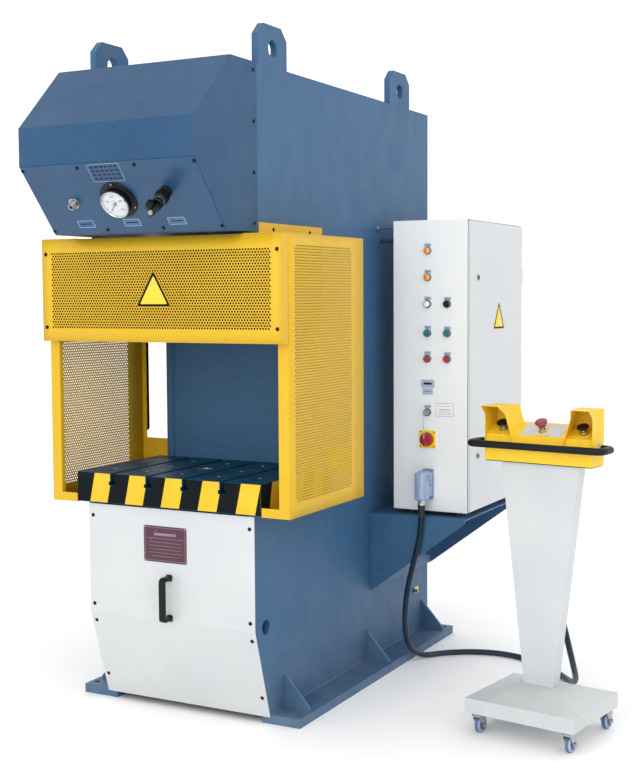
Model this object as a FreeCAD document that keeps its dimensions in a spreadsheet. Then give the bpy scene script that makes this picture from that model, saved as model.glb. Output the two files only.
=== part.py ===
import FreeCAD, Part
import Sketcher
import math
import os
import re

# Hydraulic C-frame press with a perforated guard, a side electrical cabinet and a two-hand console.
# Millimetres, +X right, +Y to the rear, +Z up. The origin is on the floor at the centre of the four
# anchor holes in the base flanges.

doc = FreeCAD.newDocument("hydraulic_press")
sheet = doc.addObject("Spreadsheet::Sheet", "Sizes")

SIZES = {
    # frame: two side plates with a C throat, seen from the front at front_y
    "front_y": -790, "frame_width": 680, "side_thick": 25, "body_depth": 1460, "head_top": 2212,
    "head_bottom": 1664, "head_setback": 40, "throat_depth": 490, "throat_radius": 30,
    "throat_recess": 8, "throat_thick": 20, "cover_thick": 3, "cover_inset": 12,
    "lug_front": 52, "lug_pitch": 1024, "lug_length": 192, "lug_height": 135, "lug_chamfer": 38,
    "lug_hole_radius": 28, "port_y": 72, "port_z": 342, "port_radius": 25,
    # base flanges and gussets
    "flange_thick": 32, "flange_outer": "=frame_width / 2 + 112",
    "flange_inner": "=frame_width / 2 - 34", "flange_front": 101, "flange_length": 1375,
    "anchor_x": "=frame_width / 2 + 86", "anchor_span": 1300, "anchor_radius": 11,
    "gusset_thick": 12, "gusset_top": 153, "gusset_foot": 441, "gusset_toe": 8,
    # head, cylinder, ram and platen
    "axis_y": -555, "head_plate": 40, "gland_radius": 90, "gland_drop": 22, "cylinder_radius": 130,
    "cylinder_height": 430, "cylinder_cap": 30, "ram_radius": 60, "ram_clearance": 0.05,
    "ram_length": 600, "platen_width": 400, "platen_depth": 300, "platen_thick": 50,
    "platen_bottom": 1420, "tool_bore_radius": 20, "platen_hole_x": 150, "platen_hole_y": 110,
    "tapped_radius": 4.25, "tapped_depth": 25,
    # table
    "table_top": 840, "table_thick": 105, "table_width": "=frame_width + 70", "table_depth": 500,
    "table_overhang": 15, "slot_pitch": 150, "slot_mouth": 18, "slot_neck": 28, "slot_head": 30,
    "slot_head_height": 13, "table_bore_radius": 20,
    "outer_hole_y": 130, "inner_hole_y": 150,
    # folded sheet over the head and the panel on its sloping face
    "hood_thick": 2, "hood_top_front": 120, "hood_nose": 330, "hood_fold_high": 2001,
    "hood_fold_low": 1878, "hood_lip": 153, "panel_thick": 2, "panel_margin": 2,
    "gauge_x": -8, "gauge_drop": 143, "gauge_flange_radius": 66, "gauge_radius": 50,
    "coupling_x": -190, "coupling_drop": 149, "valve_x": 185, "valve_drop": 120,
    # folded panel over the bed and its bridge handle
    "access_thick": 2, "access_top": "=table_top - 112", "access_fold": "=table_top - 500",
    "access_run": 95, "access_foot": 24,
    "handle_low": "=table_top - 489", "handle_span": 140, "handle_reach": 45, "handle_radius": 7,
    # guard
    "guard_half": "=frame_width / 2 + 144", "guard_front": 16, "guard_depth": 549,
    "guard_low": "=table_top - 108", "guard_high": 1655, "guard_sheet": 2, "post_width": 39,
    "post_return": 20, "sill_height": 31, "sill_inner": "=frame_width / 2 + 38",
    "pan_depth": 39, "pan_low": 1302, "tab_height": 42, "tab_start": 46, "tab_end": 490,
    "tie_low": "=table_top - 28", "tie_height": 90,
    # screws shared by the sheet covers
    "screw_radius": 5.5, "screw_head": 3,
    # electrical cabinet on its bracket
    "cab_left": "=frame_width / 2 + 80", "cab_width": 305, "cab_front": 935, "cab_depth": 600,
    "cab_low": 624, "cab_height": 1116, "cab_wall": 2, "door_proud": 10, "door_margin": 5, "hinge_radius": 4,
    "hinge_pin_radius": 2.5, "lock_inset": 83, "lock_low": 837, "lock_high": 1521,
    "bracket_front": 885, "bracket_depth": 603, "bracket_reach": 395, "bracket_top": 607,
    "bracket_height": 307, "bracket_thick": 6, "bracket_lip": 15,
    "stay_radius": 6, "stay_z": 1716, "conduit_radius": 8, "conduit_z": 1666,
    "left_column": "=cab_left + 143", "right_column": "=cab_left + 224",
    "lamp_row_high": 1624, "lamp_row_low": 1523, "selector_row": 1421, "green_row": 1310, "red_row": 1212, "key_row": 1006,
    "bezel_radius": 15, "bezel_depth": 10, "button_radius": 11, "button_proud": 6,
    "isolator_row": 902, "isolator_plate": 68, "isolator_radius": 27,
    "running_gap": 0.05, "face_gap": 0.3,
    # connector and cord
    "connector_x": 567, "connector_width": 46, "connector_low": 671, "connector_height": 117,
    "housing_depth": 40, "hood_depth": 60, "gland_size": 15, "gland_length": 22,
    "cord_radius": 11,
    # two-hand console, in its own frame
    "console_x": 1182, "console_y": -344, "console_turn": -8.65, "base_half_x": 195,
    "base_half_y": 172, "base_low": 75, "base_skirt": 49, "column_foot": 162,
    "column_half_low": 52.5, "column_half_high": 141, "column_front": 27, "column_depth": 50,
    "column_wall": 2.5, "gland_x": -10, "gland_z": 385,
    "head_low": 906, "head_half": 194, "head_front": 45, "head_depth": 87, "band_height": 47,
    "deck_front": 992, "deck_rear": 1032, "deck_setback": 12, "console_sheet": 2,
    "shroud_high": 1089, "shroud_roof": 64, "shroud_foot": 105, "shroud_splay": 20,
    "shroud_visor": 30, "rail_radius": 12, "rail_z": 962,
    "rail_half": 238, "rail_reach": 78, "rail_bend": 26, "palm_x": 145, "palm_y": -2,
    "palm_radius": 20, "palm_reach": 18, "stop_radius": 21, "stop_reach": 27,
    "stem_radius": 8, "collar_radius": 11,
    "castor_inset": 32, "wheel_radius": 28, "wheel_half": 10, "castor_trail": 18,
    "fork_gap": 12, "fork_thick": 3, "axle_radius": 4, "pivot_radius": 6,
}
for row, (alias, value) in enumerate(SIZES.items(), 1):
    sheet.set(f"A{row}", alias)
    sheet.set(f"B{row}", str(value))
    sheet.setAlias(f"B{row}", alias)
doc.recompute()

WORD = re.compile(r"[a-z][a-z_]+")
ROLES = {"x": ("YZ_Plane", ""), "y": ("XZ_Plane", "-"), "z": ("XY_Plane", "")}
TURNS = {
    "x": FreeCAD.Rotation(FreeCAD.Vector(0, 1, 0), 90),
    "y": FreeCAD.Rotation(FreeCAD.Vector(1, 0, 0), -90),
    "-y": FreeCAD.Rotation(FreeCAD.Vector(1, 0, 0), 90),
    "z": FreeCAD.Rotation(),
}


def bound(text):
    """The text with every size name pointing into the sheet."""
    return WORD.sub(lambda m: "Sizes." + m.group() if m.group() in SIZES else m.group(), str(text))


def num(text):
    """The present value of a size expression."""
    return float(sheet.evalExpression(str(text)))


def at(x, y, z):
    """A point from three size expressions."""
    return FreeCAD.Vector(num(x), num(y), num(z))


def box(name, x, y, z):
    """A block between two planes on each axis."""
    block = doc.addObject("Part::Box", name)
    for prop, axis, (low, high) in (("Length", "x", x), ("Width", "y", y), ("Height", "z", z)):
        block.setExpression(prop, bound(f"({high}) - ({low})"))
        block.setExpression(f"Placement.Base.{axis}", bound(low))
    return block


def rod(name, axis, start, radius, length):
    """A round bar that starts at a point and runs along an axis."""
    bar = doc.addObject("Part::Cylinder", name)
    bar.Placement = FreeCAD.Placement(FreeCAD.Vector(), TURNS[axis])
    bar.setExpression("Radius", bound(radius))
    bar.setExpression("Height", bound(length))
    for letter, place in zip("xyz", start):
        bar.setExpression(f"Placement.Base.{letter}", bound(place))
    return bar


def fused(name, pieces):
    """One solid from several that touch or overlap."""
    joined = doc.addObject("Part::MultiFuse", name)
    joined.Shapes = pieces
    joined.Refine = True
    return joined


def grouped(name, pieces):
    """Separate solids that share one node."""
    group = doc.addObject("Part::Compound", name)
    group.Links = pieces
    return group


def cut(name, base, tools):
    """A solid with one or more tools taken out of it."""
    result = doc.addObject("Part::Cut", name)
    result.Base = base
    result.Tool = tools[0] if len(tools) == 1 else fused(name + "_tools", tools)
    return result


def outline(body, axis, points, level):
    """A closed straight-sided sketch square to an axis; each corner is bound to the sheet."""
    role, sign = ROLES[axis]
    plane = [part for part in body.Origin.OriginFeatures if part.Role == role][0]
    sketch = body.newObject("Sketcher::SketchObject", body.Name + "_outline")
    sketch.AttachmentSupport = [(plane, "")]
    sketch.MapMode = "FlatFace"
    sketch.setExpression("AttachmentOffset.Base.z", bound(f"{sign}({level})"))
    corners = [FreeCAD.Vector(num(u), num(v), 0) for u, v in points]
    count = len(corners)
    sketch.addGeometry([Part.LineSegment(corners[i], corners[(i + 1) % count]) for i in range(count)])
    for i in range(count):
        sketch.addConstraint(Sketcher.Constraint("Coincident", i, 2, (i + 1) % count, 1))
    for i, corner in enumerate(points):
        for kind, text, value in (("DistanceX", corner[0], corners[i].x), ("DistanceY", corner[1], corners[i].y)):
            index = sketch.addConstraint(Sketcher.Constraint(kind, -1, 1, i, 1, value))
            sketch.setExpression(f"Constraints[{index}]", bound(text))
    return sketch


def prism(name, axis, points, low, high):
    """A padded outline between two planes square to an axis."""
    body = doc.addObject("PartDesign::Body", name)
    sketch = outline(body, axis, points, high if axis == "y" else low)
    pad = body.newObject("PartDesign::Pad", name + "_pad")
    pad.Profile = sketch
    pad.setExpression("Length", bound(f"({high}) - ({low})"))
    return body


def tapered(name, near_points, near, far_points, far):
    """A straight-sided body between two outlines square to Y, with a corner for each corner."""
    body = doc.addObject("PartDesign::Body", name)
    first = outline(body, "y", near_points, near)
    last = outline(body, "y", far_points, far)
    loft = body.newObject("PartDesign::AdditiveLoft", name + "_loft")
    loft.Profile = first
    loft.Sections = [last]
    loft.Ruled = True
    return body


def turned(name, points, place=None):
    """A profile of radius and height turned about its own upright axis."""
    body = doc.addObject("PartDesign::Body", name)
    sketch = outline(body, "y", points, "0")
    turning = body.newObject("PartDesign::Revolution", name + "_turning")
    turning.Profile = sketch
    turning.ReferenceAxis = (sketch, ["V_Axis"])
    turning.Angle = 360
    if place:
        body.Placement = place
    return body


def bent_path(points, radii=None, share=0.45):
    """Straight runs joined by tangent arcs; an arc takes up to a share of its shorter run."""
    edges = []
    used = []
    start = points[0]
    for i in range(1, len(points) - 1):
        back, ahead = points[i - 1] - points[i], points[i + 1] - points[i]
        turn = math.pi - back.getAngle(ahead)
        radius = radii[i - 1] if radii else share * min(back.Length, ahead.Length) / math.tan(turn / 2)
        reach = radius * math.tan(turn / 2)
        back.normalize()
        ahead.normalize()
        first, last = points[i] + back * reach, points[i] + ahead * reach
        middle = back + ahead
        middle.normalize()
        centre = points[i] + middle * (radius / math.cos(turn / 2))
        if (first - start).Length > 1e-4:
            edges.append(Part.LineSegment(start, first).toShape())
        edges.append(Part.Arc(first, centre - middle * radius, last).toShape())
        used.append(radius)
        start = last
    edges.append(Part.LineSegment(start, points[-1]).toShape())
    return Part.Wire(edges), used


def swept(name, path, radius):
    """A round bar swept along a path."""
    spine = doc.addObject("Part::Feature", name + "_path")
    spine.Shape = path
    section = doc.addObject("Part::Circle", name + "_section")
    first = path.Edges[0]
    heading = first.tangentAt(first.FirstParameter)
    turn = FreeCAD.Rotation(FreeCAD.Vector(0, 0, 1), heading)
    section.Placement = FreeCAD.Placement(path.OrderedVertexes[0].Point, turn)
    section.setExpression("Radius", bound(radius))
    sweep = doc.addObject("Part::Sweep", name)
    sweep.Sections = [section]
    sweep.Spine = (spine, [f"Edge{i + 1}" for i in range(len(path.Edges))])
    sweep.Solid = True
    sweep.Frenet = False
    return sweep


NODES = []


def node(piece, label):
    """Marks a finished piece as a node of the assembly."""
    piece.Label = label
    NODES.append(piece)
    return piece


HALF = "frame_width / 2"
INNER = "(frame_width / 2 - side_thick)"


def from_front(distance):
    """A place measured back from the front plane of the frame."""
    return f"(front_y + ({distance}))"


# ---------------------------------------------------------------- frame

def side_plate(side, label):
    """C-shaped plate with two lifting lugs and a radius at the top of its throat."""
    profile = [
        (from_front("access_run + 0.5"), "flange_thick"),
        (from_front("body_depth"), "flange_thick"),
        (from_front("body_depth"), "head_top"),
    ]
    for start in ("lug_front + lug_pitch", "lug_front"):
        end = f"({start} + lug_length)"
        profile += [
            (from_front(end), "head_top"),
            (from_front(end), "head_top + lug_height - lug_chamfer"),
            (from_front(f"{end} - lug_chamfer"), "head_top + lug_height"),
            (from_front(f"{start} + lug_chamfer"), "head_top + lug_height"),
            (from_front(start), "head_top + lug_height - lug_chamfer"),
            (from_front(start), "head_top"),
        ]
    profile += [
        (from_front("head_setback"), "head_top"),
        (from_front("head_setback"), "head_bottom"),
        (from_front("throat_depth"), "head_bottom"),
        (from_front("throat_depth"), "table_top - table_thick"),
        (from_front("access_thick"), "table_top - table_thick"),
        (from_front("access_thick"), "access_fold + 1"),
    ]
    low, high = (INNER, HALF) if side > 0 else (f"-({HALF})", f"-{INNER}")
    plate = prism(label + "_plate", "x", profile, low, high)
    doc.recompute()
    corners = []
    for i, edge in enumerate(plate.Shape.Edges, 1):
        middle = edge.CenterOfMass
        deep = abs(middle.y - num(from_front("throat_depth"))) < 0.01
        upper = abs(middle.z - num("head_bottom")) < 0.01
        if deep and upper and abs(edge.Length - num("side_thick")) < 0.01:
            corners.append(f"Edge{i}")
    pad = plate.Tip
    fillet = plate.newObject("PartDesign::Fillet", label + "_fillet")
    fillet.Base = (pad, corners)
    fillet.setExpression("Radius", bound("throat_radius"))
    strip = box(label + "_hood_strip", (low, high),
                (from_front("hood_thick"), from_front("head_setback + 5")),
                ("head_bottom + hood_thick + 4", "head_top - hood_thick - 4"))
    trim_from, trim_to = (f"{HALF} - hood_thick", f"{HALF} + 1")
    if side < 0:
        trim_from, trim_to = (f"-({HALF}) - 1", f"-({HALF}) + hood_thick")
    trim = box(label + "_hood_trim", (trim_from, trim_to),
               (from_front("0"), from_front("head_setback")), ("head_bottom", "head_top"))
    tongue = cut(label + "_tongue", strip, [trim])
    whole = fused(label + "_whole", [plate, tongue])
    holes = []
    for i, start in enumerate(("lug_front", "lug_front + lug_pitch")):
        holes.append(rod(f"{label}_lug_hole_{i}", "x",
                         (f"({low}) - 1", from_front(f"{start} + lug_length / 2"),
                          "head_top + lug_height / 2 - 9"), "lug_hole_radius", "side_thick + 2"))
    holes.append(rod(label + "_port", "x", (f"({low}) - 1", from_front("port_y"), "port_z"),
                     "port_radius", "side_thick + 2"))
    return node(cut(label, whole, holes), label)


def base_flange(side, label):
    """Flat flange under a side plate with three gussets and two anchor holes."""
    ends = ("flange_inner", "flange_outer") if side > 0 else ("-flange_outer", "-flange_inner")
    flange = box(label + "_strip", ends,
                 (from_front("flange_front"), from_front("flange_front + flange_length")),
                 ("0", "flange_thick"))
    pieces = [flange]
    for i, place in enumerate((190, 842, 1388)):
        foot, wall = ("gusset_foot", HALF)
        if side < 0:
            foot, wall = ("-gusset_foot", f"-({HALF})")
        profile = [
            (wall, "flange_thick"), (foot, "flange_thick"),
            (foot, "flange_thick + gusset_toe"), (wall, "gusset_top"),
        ]
        pieces.append(prism(f"{label}_gusset_{i}", "y", profile, from_front(place),
                            from_front(f"{place} + gusset_thick")))
    whole = fused(label + "_whole", pieces)
    place_x = "anchor_x" if side > 0 else "-anchor_x"
    holes = [rod(f"{label}_anchor_{i}", "z", (place_x, f"{sign}anchor_span / 2", "-1"),
                 "anchor_radius", "flange_thick + 2") for i, sign in enumerate(("-", ""))]
    return node(cut(label, whole, holes), label)


def throat_plate():
    """Plate welded between the side plates behind the tool space."""
    return node(box("throat_plate", (f"-{INNER}", INNER),
                    (from_front("throat_depth + throat_recess"),
                     from_front("throat_depth + throat_recess + throat_thick")),
                    ("table_top - table_thick", "head_bottom")), "throat_plate")


def rear_cover():
    """Sheet that closes the back of the frame between the side plates."""
    rear = "body_depth - cover_inset"
    return node(box("rear_cover", (f"-{INNER}", INNER),
                    (from_front(f"{rear} - cover_thick"), from_front(rear)),
                    ("flange_thick", "head_top - cover_thick")), "rear_cover")


def top_cover():
    """Sheet that closes the top of the head between the lifting lugs."""
    return node(box("top_cover", (f"-{INNER}", INNER),
                    (from_front("head_setback + 5"), from_front("body_depth - cover_inset")),
                    ("head_top - cover_thick", "head_top")), "top_cover")


def head_plate():
    """Thick plate across the head; the cylinder neck passes through its bore."""
    plate = box("head_plate_block", (f"-{INNER}", INNER),
                (from_front("head_setback + 5"), from_front("throat_depth + throat_recess + throat_thick")),
                ("head_bottom", "head_bottom + head_plate"))
    bore = rod("head_plate_bore", "z", ("0", "axis_y", "head_bottom - 1"), "gland_radius",
               "head_plate + 2")
    return node(cut("head_plate", plate, [bore]), "head_plate")


def cylinder():
    """Hydraulic cylinder standing on the head plate; its neck guides the ram."""
    base = "head_bottom - gland_drop"
    profile = [
        ("ram_radius + ram_clearance", base),
        ("gland_radius", base),
        ("gland_radius", "head_bottom + head_plate"),
        ("cylinder_radius", "head_bottom + head_plate"),
        ("cylinder_radius", "head_bottom + head_plate + cylinder_height"),
        ("0", "head_bottom + head_plate + cylinder_height"),
        ("0", "head_bottom + head_plate + cylinder_height - cylinder_cap"),
        ("ram_radius + ram_clearance", "head_bottom + head_plate + cylinder_height - cylinder_cap"),
    ]
    place = FreeCAD.Placement(at("0", "axis_y", "0"), FreeCAD.Rotation())
    return node(turned("cylinder_body", profile, place), "cylinder_body")


def ram():
    """Piston rod that carries the platen."""
    top = "platen_bottom + platen_thick"
    bar = rod("ram_bar", "z", ("0", "axis_y", top), "ram_radius", "ram_length")
    bore = rod("ram_nose_bore", "z", ("0", "axis_y", f"{top} - 1"), "tool_bore_radius", "41")
    return node(cut("ram", bar, [bore]), "ram")


def platen():
    """Tool plate under the ram with a shank bore and four tapped holes."""
    low = "platen_bottom"
    block = box("platen_block", ("-platen_width / 2", "platen_width / 2"),
                ("axis_y - platen_depth / 2", "axis_y + platen_depth / 2"),
                (low, f"{low} + platen_thick"))
    tools = [rod("platen_bore", "z", ("0", "axis_y", f"{low} - 1"), "tool_bore_radius",
                 "platen_thick + 2")]
    for i, (right, back) in enumerate(((-1, -1), (1, -1), (-1, 1), (1, 1))):
        tools.append(rod(f"platen_hole_{i}", "z",
                         (f"{right} * platen_hole_x", f"axis_y + {back} * platen_hole_y", f"{low} - 1"),
                         "tapped_radius", "tapped_depth + 1"))
    return node(cut("platen", block, tools), "platen")


def table():
    """Cast table with four T-slots, a centre bore and rows of tapped holes."""
    low = "table_top - table_thick"
    front = from_front("-table_overhang")
    block = box("table_block", ("-table_width / 2", "table_width / 2"),
                (front, f"{front} + table_depth"), (low, "table_top"))
    tools = []
    for i, place in enumerate((-1.5, -0.5, 0.5, 1.5)):
        mid = f"{place} * slot_pitch"
        neck = "table_top - slot_neck"
        tools.append(box(f"table_neck_{i}", (f"{mid} - slot_mouth / 2", f"{mid} + slot_mouth / 2"),
                         (f"{front} - 1", f"{front} + table_depth + 1"), (neck, "table_top + 1")))
        tools.append(box(f"table_tee_{i}", (f"{mid} - slot_head / 2", f"{mid} + slot_head / 2"),
                         (f"{front} - 1", f"{front} + table_depth + 1"),
                         (f"{neck} - slot_head_height", f"{neck} + 0.01")))
    tools.append(rod("table_bore", "z", ("0", "axis_y", f"{low} - 1"), "table_bore_radius",
                     "table_thick + 2"))
    holes = [(lane, row, "outer_hole_y") for lane in (-2, 2) for row in (-1, 1)]
    holes += [(lane, row, "inner_hole_y") for lane in (-1, 1) for row in (-1, 0, 1)]
    holes += [(0, row, "inner_hole_y") for row in (-1, 1)]
    for i, (lane, row, pitch) in enumerate(holes):
        tools.append(rod(f"table_hole_{i}", "z",
                         (f"{lane} * slot_pitch", f"axis_y + {row} * {pitch}",
                          "table_top - tapped_depth"), "tapped_radius", "tapped_depth + 1"))
    return node(cut("table_plate", block, tools), "table_plate")


def power_unit():
    """Oil tank between the side plates with a motor, pump and valve block on top."""
    tank_top = "flange_thick + 400"
    shaft_y = from_front("700")
    parts = [
        box("unit_tank", (f"-{INNER} + 1", f"{INNER} - 1"), (from_front("600"), from_front("1400")),
            ("flange_thick", tank_top)),
        box("unit_motor_foot", ("-70", "70"), (from_front("900"), from_front("1180")),
            (tank_top, f"{tank_top} + 24")),
        rod("unit_motor", "y", ("0", from_front("880"), f"{tank_top} + 129"), "105", "320"),
        rod("unit_pump", "y", ("0", from_front("740"), f"{tank_top} + 129"), "60", "140"),
        box("unit_valves", ("-180", "-110"), (shaft_y, from_front("860")),
            (tank_top, f"{tank_top} + 160")),
    ]
    motor_set = fused("unit_motor_set", parts[1:4])
    return node(grouped("power_unit", [parts[0], motor_set, parts[4]]), "power_unit")


# ---------------------------------------------------------------- hood, gauge panel, access panel

def head_hood():
    """Folded sheet over the front of the head: cheeks, top, nose, sloping face and lip."""
    def profile(inset, back):
        return [
            (from_front(back), f"head_top - {inset}"),
            (from_front(f"-hood_top_front + 0.41 * {inset}"), f"head_top - {inset}"),
            (from_front(f"-hood_nose + {inset}"), f"hood_fold_high - 0.41 * {inset}"),
            (from_front(f"-hood_nose + {inset}"), f"hood_fold_low + 0.35 * {inset}"),
            (from_front(f"-hood_lip + 0.5 * {inset}"), f"head_bottom + {inset}"),
            (from_front(back), f"head_bottom + {inset}"),
        ]
    outer = prism("hood_outer", "x", profile("0", "head_setback"), f"-({HALF})", HALF)
    inner = prism("hood_inner", "x", profile("hood_thick", "head_setback + 1"),
                  f"-({HALF}) + hood_thick", f"{HALF} - hood_thick")
    return node(cut("head_hood", outer, [inner]), "head_hood")


def slope_place(x, drop, lift="0"):
    """A place on the sloping face: x across, drop down the slope, lift square off it."""
    run, fall = num("hood_nose - hood_lip"), num("hood_fold_low - head_bottom")
    turn = FreeCAD.Rotation(FreeCAD.Vector(1, 0, 0), 180 - math.degrees(math.atan2(fall, run)))
    origin = at("0", from_front("-hood_nose"), "hood_fold_low")
    shift = turn.multVec(at(x, f"-({drop})", lift))
    return FreeCAD.Placement(origin + shift, turn)


def gauge_panel():
    """Instrument plate on the sloping face."""
    run, fall = num("hood_nose - hood_lip"), num("hood_fold_low - head_bottom")
    slope = math.hypot(run, fall)
    plate = box("gauge_panel_sheet", (f"-({HALF}) + panel_margin", f"{HALF} - panel_margin"),
                (f"panel_margin - {slope:.3f}", "-panel_margin"), ("0", "panel_thick"))
    panel = grouped("gauge_panel_placed", [plate])
    panel.Placement = slope_place("0", "0")
    return node(panel, "gauge_panel")


def pressure_gauge():
    """Flanged dial case with a spindle for the pointer."""
    profile = [
        ("0", "0"), ("gauge_flange_radius", "0"), ("gauge_flange_radius", "4"), ("gauge_radius", "4"),
        ("gauge_radius", "34"), ("gauge_radius - 4", "34"), ("gauge_radius - 4", "28"), ("2", "28"),
        ("2", "31"), ("0", "31"),
    ]
    return node(turned("pressure_gauge", profile, slope_place("gauge_x", "gauge_drop", "panel_thick")),
                "pressure_gauge")


def gauge_needle():
    """Pointer with a hub on the dial spindle; it points down to the left at zero."""
    pieces = [
        rod("needle_hub", "z", ("0", "0", "28 + face_gap"), "5", "2"),
        box("needle_blade", ("-1.2", "1.2"), ("-12", "gauge_radius - 14"),
            ("28 + face_gap + 0.5", "28 + face_gap + 1.5")),
    ]
    bore = rod("needle_bore", "z", ("0", "0", "28"), "2 + running_gap", "4")
    needle = cut("gauge_needle", fused("needle_whole", pieces), [bore])
    place = slope_place("gauge_x", "gauge_drop", "panel_thick")
    needle.Placement = place * FreeCAD.Placement(FreeCAD.Vector(), FreeCAD.Rotation(FreeCAD.Vector(0, 0, 1), 135))
    return node(needle, "gauge_needle")


def test_coupling():
    """Small flanged socket for a test hose."""
    profile = [("7", "0"), ("20", "0"), ("20", "5"), ("12", "5"), ("12", "26"), ("7", "26")]
    return node(turned("test_coupling", profile, slope_place("coupling_x", "coupling_drop", "panel_thick")),
                "test_coupling")


def regulator_body():
    """Pressure regulating valve: nut, barrel and the screw that the knob turns on."""
    profile = [("0", "0"), ("20", "0"), ("20", "12"), ("23", "12"), ("23", "72"), ("6", "72"),
               ("6", "95"), ("0", "95")]
    return node(turned("regulator_body", profile, slope_place("valve_x", "valve_drop", "panel_thick")),
                "regulator_body")


def regulator_knob():
    """Lobed adjusting knob with a small metal centre."""
    pieces = [rod("knob_core", "z", ("0", "0", "72 + face_gap"), "21", "38")]
    for i in range(6):
        angle = math.radians(60 * i)
        pieces.append(rod(f"knob_lobe_{i}", "z", (f"{20 * math.cos(angle):.3f}",
                      f"{20 * math.sin(angle):.3f}", "78"), "8", "28"))
    pieces.append(rod("knob_centre", "z", ("0", "0", "105"), "8", "12"))
    bore = rod("knob_bore", "z", ("0", "0", "70"), "6 + running_gap", "26")
    knob = cut("regulator_knob", fused("knob_whole", pieces), [bore])
    knob.Placement = slope_place("valve_x", "valve_drop", "panel_thick")
    return node(knob, "regulator_knob")


def access_panel():
    """White folded panel over the front of the bed; the lower part slopes back to the floor."""
    profile = [
        (from_front("0"), "access_top"),
        (from_front("0"), "access_fold"),
        (from_front("access_run"), "access_foot"),
        (from_front("access_run + 0.958 * access_thick"), "access_foot + 0.288 * access_thick"),
        (from_front("access_thick"), "access_fold + 0.15 * access_thick"),
        (from_front("access_thick"), "access_top"),
    ]
    return node(prism("access_panel", "x", profile, f"-({HALF})", HALF), "access_panel")


def bridge_handle():
    """Bridge handle on the access panel."""
    face = num(from_front("0"))
    low, high = num("handle_low"), num("handle_low + handle_span")
    reach = face - num("handle_reach")
    points = [FreeCAD.Vector(0, face, low), FreeCAD.Vector(0, reach, low),
              FreeCAD.Vector(0, reach, high), FreeCAD.Vector(0, face, high)]
    path, _ = bent_path(points, [18, 18])
    return node(swept("bridge_handle", path, "handle_radius"), "bridge_handle")


def panel_screws():
    """Round-headed screws that hold the gauge panel, hood, access panel, guard front and tabs."""
    screws = []

    def screw(place):
        head = rod(f"screw_{len(screws)}", "z", ("0", "0", "0"), "screw_radius", "screw_head")
        head.setExpression("Placement.Base.x", None)
        head.setExpression("Placement.Base.y", None)
        head.setExpression("Placement.Base.z", None)
        head.Placement = place
        screws.append(head)

    slope = math.hypot(num("hood_nose - hood_lip"), num("hood_fold_low - head_bottom"))
    for x in (-342, -114, 114, 342):
        for drop in (17, slope - 17):
            screw(slope_place(x * num("frame_width") / 700, drop, "panel_thick"))
    sides = ((1, TURNS["x"]), (-1, FreeCAD.Rotation(FreeCAD.Vector(0, 1, 0), -90)))
    for side, turn in sides:
        for share in (0.05, 0.35, 0.65, 0.95):
            z = num(f"head_bottom + {share} * (head_top - head_bottom)")
            screw(FreeCAD.Placement(at(f"{side} * ({HALF})", from_front("20"), z), turn))
        for y in (140, 396):
            screw(FreeCAD.Placement(at(f"{side} * ({HALF} + guard_sheet)", from_front(y),
                                       "guard_high + tab_height / 2"), turn))
    forward = TURNS["-y"]
    for side in (-1, 1):
        for z in ("access_fold + 29", "access_top - 42"):
            screw(FreeCAD.Placement(at(f"{side} * ({HALF} - 18)", from_front("0"), z), forward))
        for z in ("pan_low + 48", "guard_high - 51"):
            screw(FreeCAD.Placement(at(f"{side} * (guard_half - 18)",
                                       from_front("-guard_front - pan_depth"), z), forward))
    run, fall = num("access_run"), num("access_fold - access_foot")
    length = math.hypot(run, fall)
    lean = FreeCAD.Rotation(FreeCAD.Vector(1, 0, 0), 90 + math.degrees(math.atan2(run, fall)))
    for side in (-1, 1):
        for down in (35, length - 75):
            place = at(f"{side} * ({HALF} - 18)", from_front(run * down / length),
                       num("access_fold") - fall * down / length)
            screw(FreeCAD.Placement(place, lean))
    return node(grouped("panel_screws", screws), "panel_screws")


# ---------------------------------------------------------------- guard

def guard_side(side, label):
    """Side sheet of the guard with its front post, sill, rear return and tie to the frame."""
    front = from_front("-guard_front")
    rear = f"{front} + guard_depth"

    def span(inner, outer):
        return (inner, outer) if side > 0 else (f"-({outer})", f"-({inner})")

    skin = "guard_half - guard_sheet"
    height = ("guard_low", "guard_high")
    post = "guard_half - post_width"
    pieces = [
        box(label + "_wall", span(skin, "guard_half"), (front, rear), height),
        box(label + "_post", span(post, "guard_half"), (front, f"{front} + guard_sheet"), height),
        box(label + "_post_return", span(post, f"{post} + guard_sheet"),
            (front, f"{front} + post_return"), height),
        box(label + "_rear_return", span("guard_half - post_return", "guard_half"),
            (f"{rear} - guard_sheet", rear), height),
        box(label + "_floor", span("sill_inner", "guard_half"),
            (front, from_front("throat_depth")), ("guard_low", "guard_low + guard_sheet")),
        box(label + "_sill", span("sill_inner", "guard_half"),
            (front, f"{front} + guard_sheet"), ("guard_low", "guard_low + sill_height")),
        box(label + "_tie", span(HALF, "guard_half"), (f"{rear} - guard_sheet", rear),
            ("tie_low", "tie_low + tie_height")),
    ]
    return node(fused(label, pieces), label)


def guard_front_panel():
    """Shallow pan across the top front of the guard."""
    back = from_front("-guard_front")
    front = f"{back} - pan_depth"
    outer = box("pan_outer", ("-guard_half", "guard_half"), (front, back), ("pan_low", "guard_high"))
    inner = box("pan_inner", ("-guard_half + guard_sheet", "guard_half - guard_sheet"),
                (f"{front} + guard_sheet", f"{back} + 1"),
                ("pan_low + guard_sheet", "guard_high - guard_sheet"))
    return node(cut("guard_front_panel", outer, [inner]), "guard_front_panel")


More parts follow.
